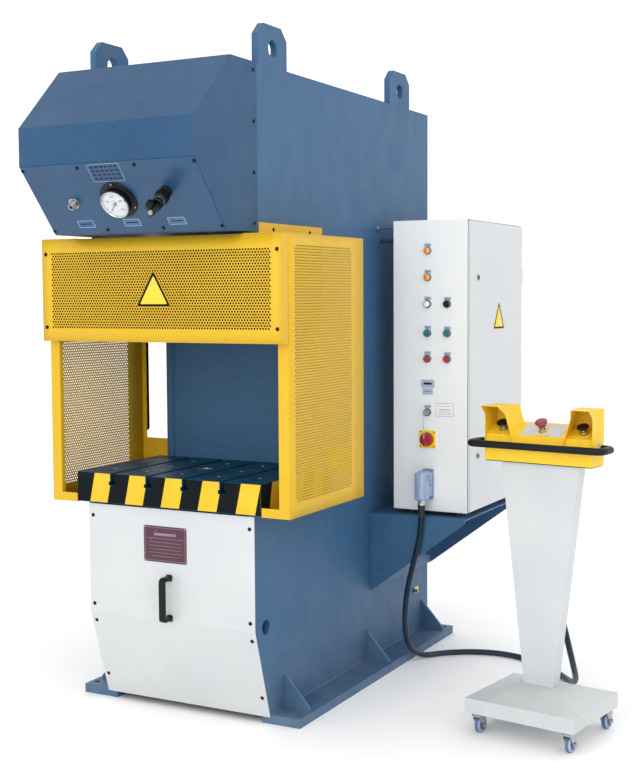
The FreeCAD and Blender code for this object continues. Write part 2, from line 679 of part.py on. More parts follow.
def guard_top():
    """Angle strips that close the top at each side and screw to the frame."""
    pieces = []
    for side, name in ((1, "right"), (-1, "left")):
        def span(inner, outer):
            return (inner, outer) if side > 0 else (f"-({outer})", f"-({inner})")
        flat = box(f"top_flat_{name}", span(HALF, "guard_half"),
                   (from_front("-guard_front - pan_depth"), from_front("guard_depth - guard_front")),
                   ("guard_high", "guard_high + guard_sheet"))
        tab = box(f"top_tab_{name}", span(HALF, f"{HALF} + guard_sheet"),
                  (from_front("tab_start"), from_front("tab_end")),
                  ("guard_high", "guard_high + tab_height"))
        pieces.append(fused(f"top_angle_{name}", [flat, tab]))
    return node(grouped("guard_top", pieces), "guard_top")


# ---------------------------------------------------------------- electrical cabinet

CAB_RIGHT = "(cab_left + cab_width)"
CAB_FRONT = "(front_y + cab_front)"
CAB_REAR = "(front_y + cab_front + cab_depth)"
CAB_TOP = "(cab_low + cab_height)"
HINGE_X = f"({CAB_RIGHT} + door_proud - hinge_radius)"
HINGE_Y = f"({CAB_REAR} + hinge_radius + 1)"


def cabinet_body():
    """Steel enclosure open at its door side, with a mounting plate and hinge brackets."""
    shell = cut("cabinet_shell", box("cabinet_outer", ("cab_left", CAB_RIGHT), (CAB_FRONT, CAB_REAR),
                                     ("cab_low", CAB_TOP)),
                [box("cabinet_inner", ("cab_left + cab_wall", f"{CAB_RIGHT} + 1"),
                     (f"{CAB_FRONT} + cab_wall", f"{CAB_REAR} - cab_wall"),
                     ("cab_low + cab_wall", f"{CAB_TOP} - cab_wall"))])
    pieces = [shell]
    plate_x = "cab_left + 30"
    pieces.append(box("cabinet_plate", (plate_x, f"{plate_x} + 3"),
                      (f"{CAB_FRONT} + 40", f"{CAB_REAR} - 40"), ("cab_low + 50", f"{CAB_TOP} - 50")))
    for i, (y, z) in enumerate(((0, 0), (1, 0), (0, 1), (1, 1))):
        pieces.append(rod(f"cabinet_stud_{i}", "x",
                          ("cab_left", f"{CAB_FRONT} + 70 + {y} * (cab_depth - 140)",
                           f"cab_low + 80 + {z} * (cab_height - 160)"), "6", "31"))
    for i, z in enumerate(("cab_low + 175", f"{CAB_TOP} - 235")):
        pieces.append(box(f"hinge_ear_{i}", (f"{CAB_RIGHT} - 14", f"{HINGE_X} + hinge_radius"),
                          (CAB_REAR, f"{HINGE_Y} + hinge_radius"), (f"{z} - 5", z)))
        pieces.append(rod(f"hinge_pin_{i}", "z", (HINGE_X, HINGE_Y, f"{z} - 1"),
                          "hinge_pin_radius", "51"))
    return node(fused("cabinet_body", pieces), "cabinet_body")


def cabinet_door():
    """Shallow pan door hung on two lift-off hinges at its rear edge."""
    rear = f"({CAB_REAR} - door_margin)"
    span = (f"{CAB_FRONT} + door_margin", rear)
    levels = ("cab_low + door_margin", f"{CAB_TOP} - door_margin")
    outer = box("door_outer", (f"{CAB_RIGHT} + face_gap", f"{CAB_RIGHT} + door_proud"), span, levels)
    inner = box("door_inner", (CAB_RIGHT, f"{CAB_RIGHT} + door_proud - cab_wall"),
                (f"{span[0]} + cab_wall", f"{span[1]} - cab_wall"),
                (f"{levels[0]} + cab_wall", f"{levels[1]} - cab_wall"))
    pieces = [cut("door_pan", outer, [inner])]
    bores = []
    for i, z in enumerate(("cab_low + 175", f"{CAB_TOP} - 235")):
        pieces.append(rod(f"door_knuckle_{i}", "z", (HINGE_X, HINGE_Y, f"{z} + face_gap"),
                          "hinge_radius", "54"))
        pieces.append(box(f"door_strap_{i}", (f"{HINGE_X}", f"{CAB_RIGHT} + door_proud"),
                          (f"{rear} - 20", HINGE_Y), (f"{z} + face_gap", f"{z} + face_gap + 54")))
        bores.append(rod(f"door_knuckle_bore_{i}", "z", (HINGE_X, HINGE_Y, z),
                         "hinge_pin_radius + running_gap", "52"))
    for i, z in enumerate(("lock_low", "lock_high")):
        bores.append(rod(f"door_lock_hole_{i}", "x", (CAB_RIGHT, f"{CAB_FRONT} + lock_inset", z),
                         "6 + running_gap", "door_proud + 1"))
    return node(cut("cabinet_door", fused("door_whole", pieces), bores), "cabinet_door")


def door_lock(level, label):
    """Quarter-turn lock: head with a key slot, stem through the door and a cam behind it."""
    centre_y = f"{CAB_FRONT} + lock_inset"
    face = f"{CAB_RIGHT} + door_proud"
    pieces = [
        rod(label + "_head", "x", (f"{face} + 0.1", centre_y, level), "11", "4"),
        rod(label + "_stem", "x", (f"{CAB_RIGHT} - 5", centre_y, level), "6", "door_proud + 6"),
        box(label + "_cam", (f"{CAB_RIGHT} - 8", f"{CAB_RIGHT} - 4"),
            (f"{centre_y} - 8", f"{centre_y} + 8"), (f"{level} - 8", f"{level} + 36")),
    ]
    slot = box(label + "_slot", (f"{face} + 2", f"{face} + 5"), (f"{centre_y} - 1.2", f"{centre_y} + 1.2"),
               (f"{level} - 6", f"{level} + 6"))
    return node(cut(label, fused(label + "_whole", pieces), [slot]), label)


def cabinet_bracket():
    """Welded shelf bracket: wall plate, shelf and two triangular webs."""
    rear = "bracket_front + bracket_depth"
    low = "bracket_top - bracket_height"
    wall = f"{HALF} + bracket_thick"
    tip = f"{HALF} + bracket_reach"
    pieces = [
        box("bracket_wall", (HALF, wall), (from_front("bracket_front"), from_front(rear)),
            (low, "bracket_top")),
        box("bracket_shelf", (HALF, tip), (from_front("bracket_front"), from_front(rear)),
            ("bracket_top - bracket_thick", "bracket_top")),
    ]
    web = [(wall, low), (tip, "bracket_top - bracket_lip"), (tip, "bracket_top - 1"), (wall, "bracket_top - 1")]
    for i, start in enumerate(("bracket_front", f"{rear} - bracket_thick")):
        pieces.append(prism(f"bracket_web_{i}", "y", web, from_front(start),
                            from_front(f"{start} + bracket_thick")))
    return node(fused("cabinet_bracket", pieces), "cabinet_bracket")


def cabinet_fixings():
    """Feet under the cabinet, bracket bolts, two stays, the conduit and the earth stud."""
    pieces = []
    for i, (x, y) in enumerate(((60, 40), (255, 40), (60, 540), (255, 540))):
        pieces.append(rod(f"cabinet_foot_{i}", "z", (f"cab_left + {x}", f"{CAB_FRONT} + {y}", "bracket_top"),
                          "20", "cab_low - bracket_top"))
    for i, (y, z) in enumerate(((40, 38), (563, 38), (40, 250), (563, 250))):
        pieces.append(rod(f"bracket_bolt_{i}", "x",
                          (f"{HALF} + bracket_thick", from_front(f"bracket_front + {y}"),
                           f"bracket_top - bracket_height + {z}"), "9", "7"))
    reach = f"cab_left - {HALF}"
    for i, y in enumerate((18, 560)):
        bar = rod(f"stay_bar_{i}", "x", (HALF, f"{CAB_FRONT} + {y}", "stay_z"), "stay_radius", reach)
        nut = rod(f"stay_nut_{i}", "x", (HALF, f"{CAB_FRONT} + {y}", "stay_z"), "stay_radius + 5", "8")
        pieces.append(fused(f"stay_{i}", [bar, nut]))
    pipe = rod("conduit_pipe", "x", (HALF, f"{CAB_FRONT} + 32", "conduit_z"), "conduit_radius", reach)
    disc = rod("conduit_disc", "x", (HALF, f"{CAB_FRONT} + 32", "conduit_z"), "27", "4")
    pieces.append(fused("conduit", [pipe, disc]))
    pieces.append(rod("earth_stud", "x", (HALF, from_front("1313"), "207"), "6", "22"))
    return node(grouped("cabinet_fixings", pieces), "cabinet_fixings")


FACE_BEZELS = (
    ("left_column", "selector_row"), ("right_column", "selector_row"), ("left_column", "green_row"),
    ("right_column", "green_row"), ("left_column", "red_row"), ("right_column", "red_row"),
    ("left_column", "key_row"),
)


def operator_bezels():
    """Bezels, lamp lenses and the isolator plate on the front face of the cabinet."""
    pieces = []
    front = f"{CAB_FRONT} - bezel_depth"
    for i, (x, z) in enumerate(FACE_BEZELS):
        ring = rod(f"bezel_ring_{i}", "y", (x, front, z), "bezel_radius", "bezel_depth")
        bore = rod(f"bezel_bore_{i}", "y", (x, f"{front} - 1", z), "button_radius + running_gap",
                   "bezel_depth")
        pieces.append(cut(f"bezel_{i}", ring, [bore]))
    for i, z in enumerate(("lamp_row_high", "lamp_row_low")):
        rim = rod(f"lamp_rim_{i}", "y", ("left_column", front, z), "bezel_radius", "bezel_depth")
        lens = rod(f"lamp_lens_{i}", "y", ("left_column", f"{front} - 8", z), "button_radius", "9")
        pieces.append(fused(f"lamp_{i}", [rim, lens]))
    side = "isolator_plate / 2"
    plate = box("isolator_square", (f"left_column - {side}", f"left_column + {side}"),
                (f"{CAB_FRONT} - 4", CAB_FRONT), (f"isolator_row - {side}", f"isolator_row + {side}"))
    hole = rod("isolator_hole", "y", ("left_column", f"{CAB_FRONT} - 5", "isolator_row"),
               "8 + running_gap", "4.7")
    pieces.append(cut("isolator_backplate", plate, [hole]))
    return node(grouped("operator_bezels", pieces), "operator_bezels")


def push_button(x, z, label):
    """Flush push-button that slides in its bezel."""
    front = f"{CAB_FRONT} - bezel_depth"
    return node(rod(label, "y", (x, f"{front} - button_proud", z), "button_radius",
                    "button_proud + 4"), label)


def selector_knob():
    """Two-position selector with a raised grip."""
    front = f"{CAB_FRONT} - bezel_depth"
    pieces = [
        rod("selector_disc", "y", ("left_column", f"{front} - 4", "selector_row"), "button_radius", "8"),
        box("selector_grip", ("left_column - 3", "left_column + 3"), (f"{front} - 16", f"{front} - 3"),
            ("selector_row - 10", "selector_row + 10")),
    ]
    return node(fused("selector_knob", pieces), "selector_knob")


def key_switch():
    """Lock barrel with its key."""
    front = f"{CAB_FRONT} - bezel_depth"
    pieces = [
        rod("key_barrel", "y", ("left_column", f"{front} - 3", "key_row"), "button_radius", "7"),
        box("key_blade", ("left_column - 1", "left_column + 1"), (f"{front} - 18", f"{front} - 2"),
            ("key_row - 4", "key_row + 4")),
        rod("key_bow", "x", ("left_column - 1", f"{front} - 24", "key_row"), "10", "2"),
    ]
    return node(fused("key_switch", pieces), "key_switch")


def isolator_knob():
    """Main switch handle with a grip bar."""
    front = f"{CAB_FRONT} - 4"
    pieces = [
        rod("isolator_disc", "y", ("left_column", f"{front} - 16", "isolator_row"), "isolator_radius",
            "16 - face_gap"),
        box("isolator_grip", ("left_column - 7", "left_column + 7"), (f"{front} - 34", f"{front} - 15"),
            ("isolator_row - isolator_radius + 2", "isolator_row + isolator_radius - 2")),
        rod("isolator_stem", "y", ("left_column", f"{front} - 5", "isolator_row"), "8", "8"),
    ]
    return node(fused("isolator_knob", pieces), "isolator_knob")


GLAND_Y = f"({CAB_FRONT} - housing_depth - hood_depth / 2)"


def connector_housing():
    """Rectangular bulkhead housing on the cabinet."""
    side = "connector_width / 2"
    return node(box("connector_housing", (f"connector_x - {side}", f"connector_x + {side}"),
                    (f"{CAB_FRONT} - housing_depth", CAB_FRONT),
                    ("connector_low", "connector_low + connector_height")), "connector_housing")


def connector_hood():
    """Plug hood with its cable gland pointing down."""
    side = "connector_width / 2 - 2"
    shell = box("hood_shell", (f"connector_x - {side}", f"connector_x + {side}"),
                (f"{CAB_FRONT} - housing_depth - hood_depth", f"{CAB_FRONT} - housing_depth"),
                ("connector_low + 3", "connector_low + connector_height - 3"))
    gland = rod("hood_gland", "z", ("connector_x", GLAND_Y, "connector_low + 4 - gland_length"),
                "gland_size", "gland_length")
    return node(fused("connector_hood", [shell, gland]), "connector_hood")


# ---------------------------------------------------------------- console

CONSOLE = FreeCAD.Placement(at("console_x", "console_y", "0"),
                            FreeCAD.Rotation(FreeCAD.Vector(0, 0, 1), num("console_turn")))


def on_console(piece, label):
    """Places a finished console piece, drawn in the console's own frame."""
    piece.Placement = CONSOLE * piece.Placement
    return node(piece, label)


CASTORS = (("front_left", -1, -1), ("front_right", 1, -1), ("rear_left", -1, 1), ("rear_right", 1, 1))


def castor_place(right, back):
    """The swivel axis of one castor."""
    return f"{right} * (base_half_x - castor_inset)", f"{back} * (base_half_y - castor_inset)"


def console_base():
    """Weighted base: an upright skirt under a low pyramid, with four castor sockets."""
    body = doc.addObject("PartDesign::Body", "console_base_block")
    top = "base_low + base_skirt"

    def rectangle(half_x, front, back):
        return [(f"-({half_x})", front), (half_x, front), (half_x, back), (f"-({half_x})", back)]

    skirt = outline(body, "z", rectangle("base_half_x", "-base_half_y", "base_half_y"), "base_low")
    pad = body.newObject("PartDesign::Pad", "console_base_skirt")
    pad.Profile = skirt
    pad.setExpression("Length", bound("base_skirt"))
    foot = outline(body, "z", rectangle("base_half_x", "-base_half_y", "base_half_y"), top)
    crown = outline(body, "z", rectangle("column_half_low", "-column_front", "column_depth - column_front"),
                    "column_foot")
    loft = body.newObject("PartDesign::AdditiveLoft", "console_base_pyramid")
    loft.Profile = foot
    loft.Sections = [crown]
    loft.Ruled = True
    sockets = [rod(f"base_socket_{name}", "z", (*castor_place(right, back), "base_low - 1"),
                   "pivot_radius + running_gap", "18") for name, right, back in CASTORS]
    return on_console(cut("console_base", body, sockets), "console_base")


def console_column():
    """Tapered sheet column, wide at the top, with a cable gland at its back."""
    outer = [("-column_half_low", "column_foot"), ("column_half_low", "column_foot"),
             ("column_half_high", "head_low"), ("-column_half_high", "head_low")]
    back = "column_depth - column_front"
    shell = prism("column_outer", "y", outer, "-column_front", back)
    inner = [("-column_half_low + column_wall", "column_foot + column_wall"),
             ("column_half_low - column_wall", "column_foot + column_wall"),
             ("column_half_high - column_wall", "head_low - column_wall"),
             ("-column_half_high + column_wall", "head_low - column_wall")]
    core = prism("column_inner", "y", inner, "-column_front + column_wall", f"{back} - column_wall")
    gland = rod("column_gland", "y", ("gland_x", back, "gland_z"), "gland_size", "gland_length")
    whole = fused("column_whole", [cut("column_shell", shell, [core]), gland])
    return on_console(grouped("console_column", [whole]), "console_column")


def deck_place(x, y):
    """A place on the sloping deck; its upright axis is square to the deck."""
    run, rise = num("head_depth - deck_setback"), num("deck_rear - deck_front")
    tilt = math.atan2(rise, run)
    depth = num(y) + num("head_front - deck_setback")
    z = num("deck_front") + depth * rise / run
    return FreeCAD.Placement(FreeCAD.Vector(num(x), num(y), z),
                             FreeCAD.Rotation(FreeCAD.Vector(1, 0, 0), math.degrees(tilt)))


def console_head():
    """Sheet head: a band, a sloping deck and a hand shroud at each end."""
    back = "head_depth - head_front"

    def section(inset, floor):
        return [
            (f"-head_front + {inset}", floor),
            (f"-head_front + {inset}", f"head_low + band_height - {inset}"),
            (f"-head_front + deck_setback + {inset}", f"head_low + band_height - {inset} + 1"),
            (f"-head_front + deck_setback + {inset}", f"deck_front - {inset}"),
            (f"{back} - {inset}", f"deck_rear - {inset}"),
            (f"{back} - {inset}", floor),
        ]
    outer = prism("head_outer", "x", section("0", "head_low"), "-head_half", "head_half")
    inner = prism("head_inner", "x", section("console_sheet", "head_low + console_sheet"),
                  "-head_half + console_sheet", "head_half - console_sheet")
    pieces = [cut("head_shell", outer, [inner])]
    roof, foot = "shroud_high - console_sheet", "head_low + band_height + 2"
    for side, name in ((-1, "left"), (1, "right")):
        def wall(splay, inset, top):
            points = [
                (f"head_half - {inset}", foot), (f"head_half - {inset}", top),
                (f"head_half - shroud_roof - {splay} + {inset}", top),
                (f"head_half - shroud_foot - {splay} + {inset}", foot),
            ]
            return [(f"{side} * ({u})", v) for u, v in points]
        front = "-head_front - shroud_visor"
        cover = tapered(f"shroud_outer_{name}", wall("0", "0", "shroud_high"), front,
                        wall("shroud_splay", "0", "shroud_high"), back)
        hollow = tapered(f"shroud_inner_{name}", wall("0", "console_sheet", roof), f"{front} - 0.01",
                         wall("shroud_splay", "console_sheet", roof), f"{back} - console_sheet")
        profile = [(f"{front} - 1", f"{foot} - 1"), ("-head_front", f"{foot} - 1"),
                   ("-head_front", "shroud_high - shroud_visor"), (f"{front} + 1", roof),
                   (f"{front} - 1", roof)]
        ends = sorted((f"{side} * (head_half + 1)", f"{side} * (head_half - shroud_foot - 30)"), key=num)
        opening = prism(f"shroud_opening_{name}", "x", profile, ends[0], ends[1])
        pieces.append(cut(f"shroud_{name}", cover, [hollow, opening]))
    bores = []
    for name, x in (("left", "-palm_x"), ("right", "palm_x"), ("stop", "0")):
        collar = rod(f"collar_{name}", "z", ("0", "0", "-3"), "collar_radius", "13")
        bore = rod(f"collar_bore_{name}", "z", ("0", "0", "-5"), "stem_radius + running_gap", "20")
        for piece, pile in ((collar, pieces), (bore, bores)):
            placed = grouped(piece.Name + "_placed", [piece])
            placed.Placement = deck_place(x, "palm_y")
            pile.append(placed)
    shell = fused("head_whole", pieces)
    return on_console(cut("console_head", shell, bores), "console_head")


def console_rail():
    """Bent tube that stands in front of the head at each end and across it."""
    side, out, z = num("head_half + 1.8"), num("rail_half"), num("rail_z")
    front, back = -num("rail_reach"), 12
    points = [FreeCAD.Vector(x, y, z) for x, y in (
        (-side, back), (-out, back), (-out, front), (out, front), (out, back), (side, back))]
    bend = num("rail_bend")
    path, _ = bent_path(points, [bend, bend, bend, bend])
    return on_console(swept("console_rail", path, "rail_radius"), "console_rail")


def mushroom(label, x, radius, reach, thick):
    """Mushroom button with a stem that slides in its collar."""
    profile = [
        ("0", "-14"), ("stem_radius", "-14"), ("stem_radius", reach), (f"{radius} - 4", reach),
        (radius, f"{reach} + {thick} * 0.4"), (f"{radius} - 2", f"{reach} + {thick} * 0.8"),
        (f"{radius} * 0.6", f"{reach} + {thick}"), ("0", f"{reach} + {thick}"),
    ]
    return on_console(turned(label, profile, deck_place(x, "palm_y")), label)


def castor(name, right, back):
    """Swivel castor: fork with its pivot and axle, and a wheel that trails behind the pivot."""
    x, y = castor_place(right, back)
    wheel_y = f"({y} + castor_trail)"
    crown = "base_low - face_gap"
    plate = "wheel_radius * 2 + 4"
    pieces = [
        rod(f"fork_pivot_{name}", "z", (x, y, f"{plate} + 2"), "pivot_radius", f"base_low + 14 - ({plate} + 2)"),
        rod(f"fork_crown_{name}", "z", (x, y, plate), "17", f"{crown} - ({plate})"),
        box(f"fork_plate_{name}", (f"{x} - fork_gap - fork_thick", f"{x} + fork_gap + fork_thick"),
            (f"{y} - 17", f"{wheel_y} + 14"), (plate, f"{plate} + fork_thick")),
        rod(f"fork_axle_{name}", "x", (f"{x} - fork_gap - fork_thick - 2", wheel_y, "wheel_radius"),
            "axle_radius", "2 * (fork_gap + fork_thick + 2)"),
    ]
    for i, sign in enumerate(("-", "+")):
        low = f"{x} - fork_gap - fork_thick" if sign == "-" else f"{x} + fork_gap"
        profile = [
            (f"{wheel_y} - 8", "wheel_radius - 9"), (f"{wheel_y} + 8", "wheel_radius - 9"),
            (f"{wheel_y} + 14", plate), (f"{y} - 10", plate),
        ]
        pieces.append(prism(f"fork_cheek_{name}_{i}", "x", profile, low, f"{low} + fork_thick"))
    on_console(fused(f"castor_fork_{name}", pieces), f"castor_fork_{name}")
    tyre = rod(f"tyre_{name}", "x", (f"{x} - wheel_half", wheel_y, "wheel_radius"), "wheel_radius",
               "2 * wheel_half")
    bore = rod(f"wheel_bore_{name}", "x", (f"{x} - wheel_half - 2", wheel_y, "wheel_radius"),
               "axle_radius + running_gap", "2 * wheel_half + 4")
    hub = rod(f"hub_{name}", "x", (f"{x} - fork_gap + face_gap", wheel_y, "wheel_radius"), "9",
              "2 * (fork_gap - face_gap)")
    wheel = cut(f"castor_wheel_{name}", fused(f"wheel_whole_{name}", [tyre, hub]), [bore])
    on_console(wheel, f"castor_wheel_{name}")


# Control cord from the plug hood down to the floor, across it and up into the back of the column.
CORD_ROUTE = [
    (567, 75, 653), (567, 75, 570), (548, 77, 480), (523, 80, 395), (501, 88, 310), (485, 106, 228),
    (473, 133, 152), (468, 169, 86), (474, 217, 37), (497, 275, 12), (543, 340, 11.5),
    (613, 396, 11.5), (701, 434, 11.5), (802, 439, 11.5), (898, 403, 11.5), (984, 343, 11.5),
    (1060, 268, 11.5), (1119, 193, 15), (1159, 121, 37), (1183, 49, 77), (1195, -19, 133),
    (1199, -76, 201), (1198, -125, 277), (1195, -166, 346), (1189.4, -228.8, 385),
]


def control_cord():
    """Round cord along its settled route; its ends meet the two glands face to face."""
    points = [FreeCAD.Vector(*point) for point in CORD_ROUTE]
    points[0] = at("connector_x", GLAND_Y, "connector_low + 4 - gland_length")
    exit_end = CONSOLE.multVec(at("gland_x", "column_depth - column_front + gland_length", "gland_z"))
    points.append(exit_end)
    path, radii = bent_path(points)
    print("cord length", round(path.Length), "radii", [round(radius) for radius in radii])
    cord = swept("control_cord", path, "cord_radius")
    doc.recompute()
    print("cord volume over section times length",
          round(cord.Shape.Volume / (math.pi * num("cord_radius") ** 2 * path.Length), 4))
    return node(cord, "control_cord")


def build():
    side_plate(-1, "side_plate_left")
    side_plate(1, "side_plate_right")
    throat_plate()
    rear_cover()
    top_cover()
    head_plate()
    base_flange(-1, "base_flange_left")
    base_flange(1, "base_flange_right")
    cylinder()
    ram()
    platen()
    table()
    power_unit()
    head_hood()
    gauge_panel()
    pressure_gauge()
    gauge_needle()
    test_coupling()
    regulator_body()
    regulator_knob()
    access_panel()
    bridge_handle()
    panel_screws()
    guard_side(-1, "guard_left")
    guard_side(1, "guard_right")
    guard_front_panel()
    guard_top()
    cabinet_body()
    cabinet_door()
    door_lock("lock_high", "door_lock_upper")
    door_lock("lock_low", "door_lock_lower")
    cabinet_bracket()
    cabinet_fixings()
    operator_bezels()
    push_button("right_column", "selector_row", "button_black")
    push_button("left_column", "green_row", "button_green_left")
    push_button("right_column", "green_row", "button_green_right")
    push_button("left_column", "red_row", "button_red_left")
    push_button("right_column", "red_row", "button_red_right")
    selector_knob()
    key_switch()
    isolator_knob()
    connector_housing()
    connector_hood()
    control_cord()
    console_base()
    console_column()
    console_head()
    console_rail()
    mushroom("palm_button_left", "-palm_x", "palm_radius", "palm_reach", 12)
    mushroom("palm_button_right", "palm_x", "palm_radius", "palm_reach", 12)
    mushroom("emergency_button", "0", "stop_radius", "stop_reach", 14)
    for name, right, back in CASTORS:
        castor(name, right, back)


build()
doc.recompute()
faults = [part.Name for part in doc.Objects if {"Invalid", "Error"} & set(part.State)]
faults += [part.Label for part in NODES if part.Shape.isNull() or not part.Shape.isValid()]
if faults:
    raise SystemExit("not sound: " + ", ".join(faults))
os.makedirs("parts", exist_ok=True)
for part in NODES:
    part.Shape.exportStep(f"parts/{part.Label}.step")
print(len(NODES), "nodes")
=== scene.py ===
import math

import bmesh
import bpy
import numpy as np
from mathutils import Matrix, Vector


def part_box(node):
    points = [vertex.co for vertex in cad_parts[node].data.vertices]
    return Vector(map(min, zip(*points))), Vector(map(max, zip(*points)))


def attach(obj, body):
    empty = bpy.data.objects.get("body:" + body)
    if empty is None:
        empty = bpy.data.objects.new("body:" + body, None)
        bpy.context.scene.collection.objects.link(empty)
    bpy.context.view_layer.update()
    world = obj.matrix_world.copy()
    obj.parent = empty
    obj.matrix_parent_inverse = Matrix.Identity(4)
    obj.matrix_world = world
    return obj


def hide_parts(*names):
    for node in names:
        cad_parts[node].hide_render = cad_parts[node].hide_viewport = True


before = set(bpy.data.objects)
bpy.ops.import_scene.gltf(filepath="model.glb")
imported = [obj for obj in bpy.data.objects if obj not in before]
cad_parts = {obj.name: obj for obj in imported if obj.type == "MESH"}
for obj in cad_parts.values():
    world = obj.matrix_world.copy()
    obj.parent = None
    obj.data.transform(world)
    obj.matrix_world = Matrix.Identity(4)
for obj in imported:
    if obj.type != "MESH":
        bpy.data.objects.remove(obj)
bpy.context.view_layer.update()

# ---------------------------------------------------------------- camera and studio
# A standing viewer's camera to the right of the press, a pale floor and an even white studio,
# with a large weak key from the front and a weaker fill from the right.


def tone(red, green, blue):
    """Screen colour of 0 to 255 as linear light: ((c + 0.055) / 1.055) ^ 2.4, or c / 12.92 when dark."""
    c = np.array([red, green, blue]) / 255
    c = np.where(c > 0.04045, ((c + 0.055) / 1.055) ** 2.4, c / 12.92)
    return (*c.tolist(), 1)


eye = Vector((2.47907, -4.37658, 1.45753))
yaw, pitch, roll = (math.radians(a) for a in (27.7977, 4.1617, -0.3103))
forward = Vector((-math.sin(yaw) * math.cos(pitch), math.cos(yaw) * math.cos(pitch), -math.sin(pitch)))
level = Vector((math.cos(yaw), math.sin(yaw), 0))
upright = level.cross(forward)
right = math.cos(roll) * level + math.sin(roll) * upright
up = math.cos(roll) * upright - math.sin(roll) * level
lens = bpy.data.cameras.new("camera")
lens.sensor_fit = "HORIZONTAL"
lens.sensor_width = 36
lens.lens = 71.853
lens.clip_end = 60
camera = bpy.data.objects.new("camera", lens)
camera.matrix_world = Matrix.Translation(eye) @ Matrix((right, up, -forward)).transposed().to_4x4()
bpy.context.scene.collection.objects.link(camera)
bpy.context.scene.camera = camera
bpy.context.scene.view_settings.view_transform = "Standard"

world = bpy.context.scene.world or bpy.data.worlds.new("studio")
bpy.context.scene.world = world
world.use_nodes = True
world.node_tree.nodes["Background"].inputs["Color"].default_value = (1, 1, 1, 1)
world.node_tree.nodes["Background"].inputs["Strength"].default_value = 1.18

for name, place, target, size, power in (
    ("key", (1.0, -5.4, 2.4), (0.2, 0, 1.1), 2.6, 64),
    ("fill", (4.2, -3.4, 2.2), (0.6, 0, 0.9), 2.4, 20),
):
    lamp = bpy.data.lights.new(name, "AREA")
    lamp.size = size
    lamp.energy = power
    light = bpy.data.objects.new(name, lamp)
    light.location = place
    light.rotation_euler = (Vector(target) - Vector(place)).to_track_quat("-Z", "Y").to_euler()
    bpy.context.scene.collection.objects.link(light)


def finish(name, colour, other, rough, metallic=0.0, mottle=5.0, grain=700.0, relief=0.02,
           streak=0.0, spread=0.06, coat=0.0, dust=0.0, flecks=0.0, speckle=0.0,
           shine=0.5):
    """Surface finish on object coordinates. Broad noise mixes the two colours, finer noise moves the
    gloss up and down by spread, and the finest is the relief. streak draws the broad noise out
    upright, dust fades the foot of the piece to grey, flecks are small pale chips, speckle is the
    stipple of sprayed paint, and shine is how much the bare face reflects."""
    colour, other = tone(*colour), tone(*other)
    material = bpy.data.materials.new(name)
    material.use_nodes = True
    tree = material.node_tree
    shader = tree.nodes["Principled BSDF"]
    place = tree.nodes.new("ShaderNodeTexCoord").outputs["Object"]

    def noise(scale, detail, draw=(1, 1, 1)):
        mapping = tree.nodes.new("ShaderNodeMapping")
        mapping.inputs["Scale"].default_value = draw
        tree.links.new(place, mapping.inputs["Vector"])
        texture = tree.nodes.new("ShaderNodeTexNoise")
        texture.inputs["Scale"].default_value = scale
        texture.inputs["Detail"].default_value = detail
        tree.links.new(mapping.outputs["Vector"], texture.inputs["Vector"])
        return texture.outputs["Fac"]

    def spanned(value, low, high, start, end):
        span = tree.nodes.new("ShaderNodeMapRange")
        for socket, number in zip(("From Min", "From Max", "To Min", "To Max"), (low, high, start, end)):
            span.inputs[socket].default_value = number
        tree.links.new(value, span.inputs["Value"])
        return span.outputs["Result"]

    def mixed(amount, first, second):
        mix = tree.nodes.new("ShaderNodeMix")
        mix.data_type = "RGBA"
        tree.links.new(amount, mix.inputs["Factor"])
        for socket, value in ((mix.inputs[6], first), (mix.inputs[7], second)):
            if isinstance(value, tuple):
                socket.default_value = value
            else:
                tree.links.new(value, socket)
        return mix.outputs[2]

    draw = (1, 1, 1 - 0.92 * min(streak, 1))
    tint = mixed(spanned(noise(mottle, 5, draw), 0.32, 0.68, 0, 1), colour, other)
    if dust:
        split = tree.nodes.new("ShaderNodeSeparateXYZ")
        tree.links.new(place, split.inputs["Vector"])
        fade = tree.nodes.new("ShaderNodeMath")
        fade.operation = "MULTIPLY"
        tree.links.new(spanned(split.outputs["Z"], 0.02, 0.35, dust, 0), fade.inputs[0])
        tree.links.new(spanned(noise(9, 6), 0.35, 0.65, 0.25, 1), fade.inputs[1])
        tint = mixed(fade.outputs["Value"], tint, tone(150, 146, 138))
    if speckle:
        stipple = spanned(noise(330, 2), 0.35, 0.65, -0.5 * speckle, 0.5 * speckle)
        lift = tree.nodes.new("ShaderNodeHueSaturation")
        shade = tree.nodes.new("ShaderNodeMath")
        shade.operation = "ADD"
        shade.inputs[1].default_value = 1
        tree.links.new(stipple, shade.inputs[0])
        tree.links.new(shade.outputs["Value"], lift.inputs["Value"])
        tree.links.new(tint, lift.inputs["Color"])
        tint = lift.outputs["Color"]
    if flecks:
        chips = spanned(noise(140, 3), 0.705 - 0.03 * flecks, 0.72, 0, 0.55)
        tint = mixed(chips, tint, tone(170, 172, 172))
    tree.links.new(tint, shader.inputs["Base Color"])
    gloss = spanned(noise(mottle * 7, 4, draw), 0.3, 0.7, rough - spread, rough + spread)
    tree.links.new(gloss, shader.inputs["Roughness"])
    shader.inputs["Metallic"].default_value = metallic
    shader.inputs["Specular IOR Level"].default_value = shine
    shader.inputs["Coat Weight"].default_value = coat
    shader.inputs["Coat Roughness"].default_value = 0.18
    bump = tree.nodes.new("ShaderNodeBump")
    bump.inputs["Strength"].default_value = min(1, relief * 10)
    bump.inputs["Distance"].default_value = 0.0004
    tree.links.new(noise(grain, 2), bump.inputs["Height"])
    tree.links.new(bump.outputs["Normal"], shader.inputs["Normal"])
    return material


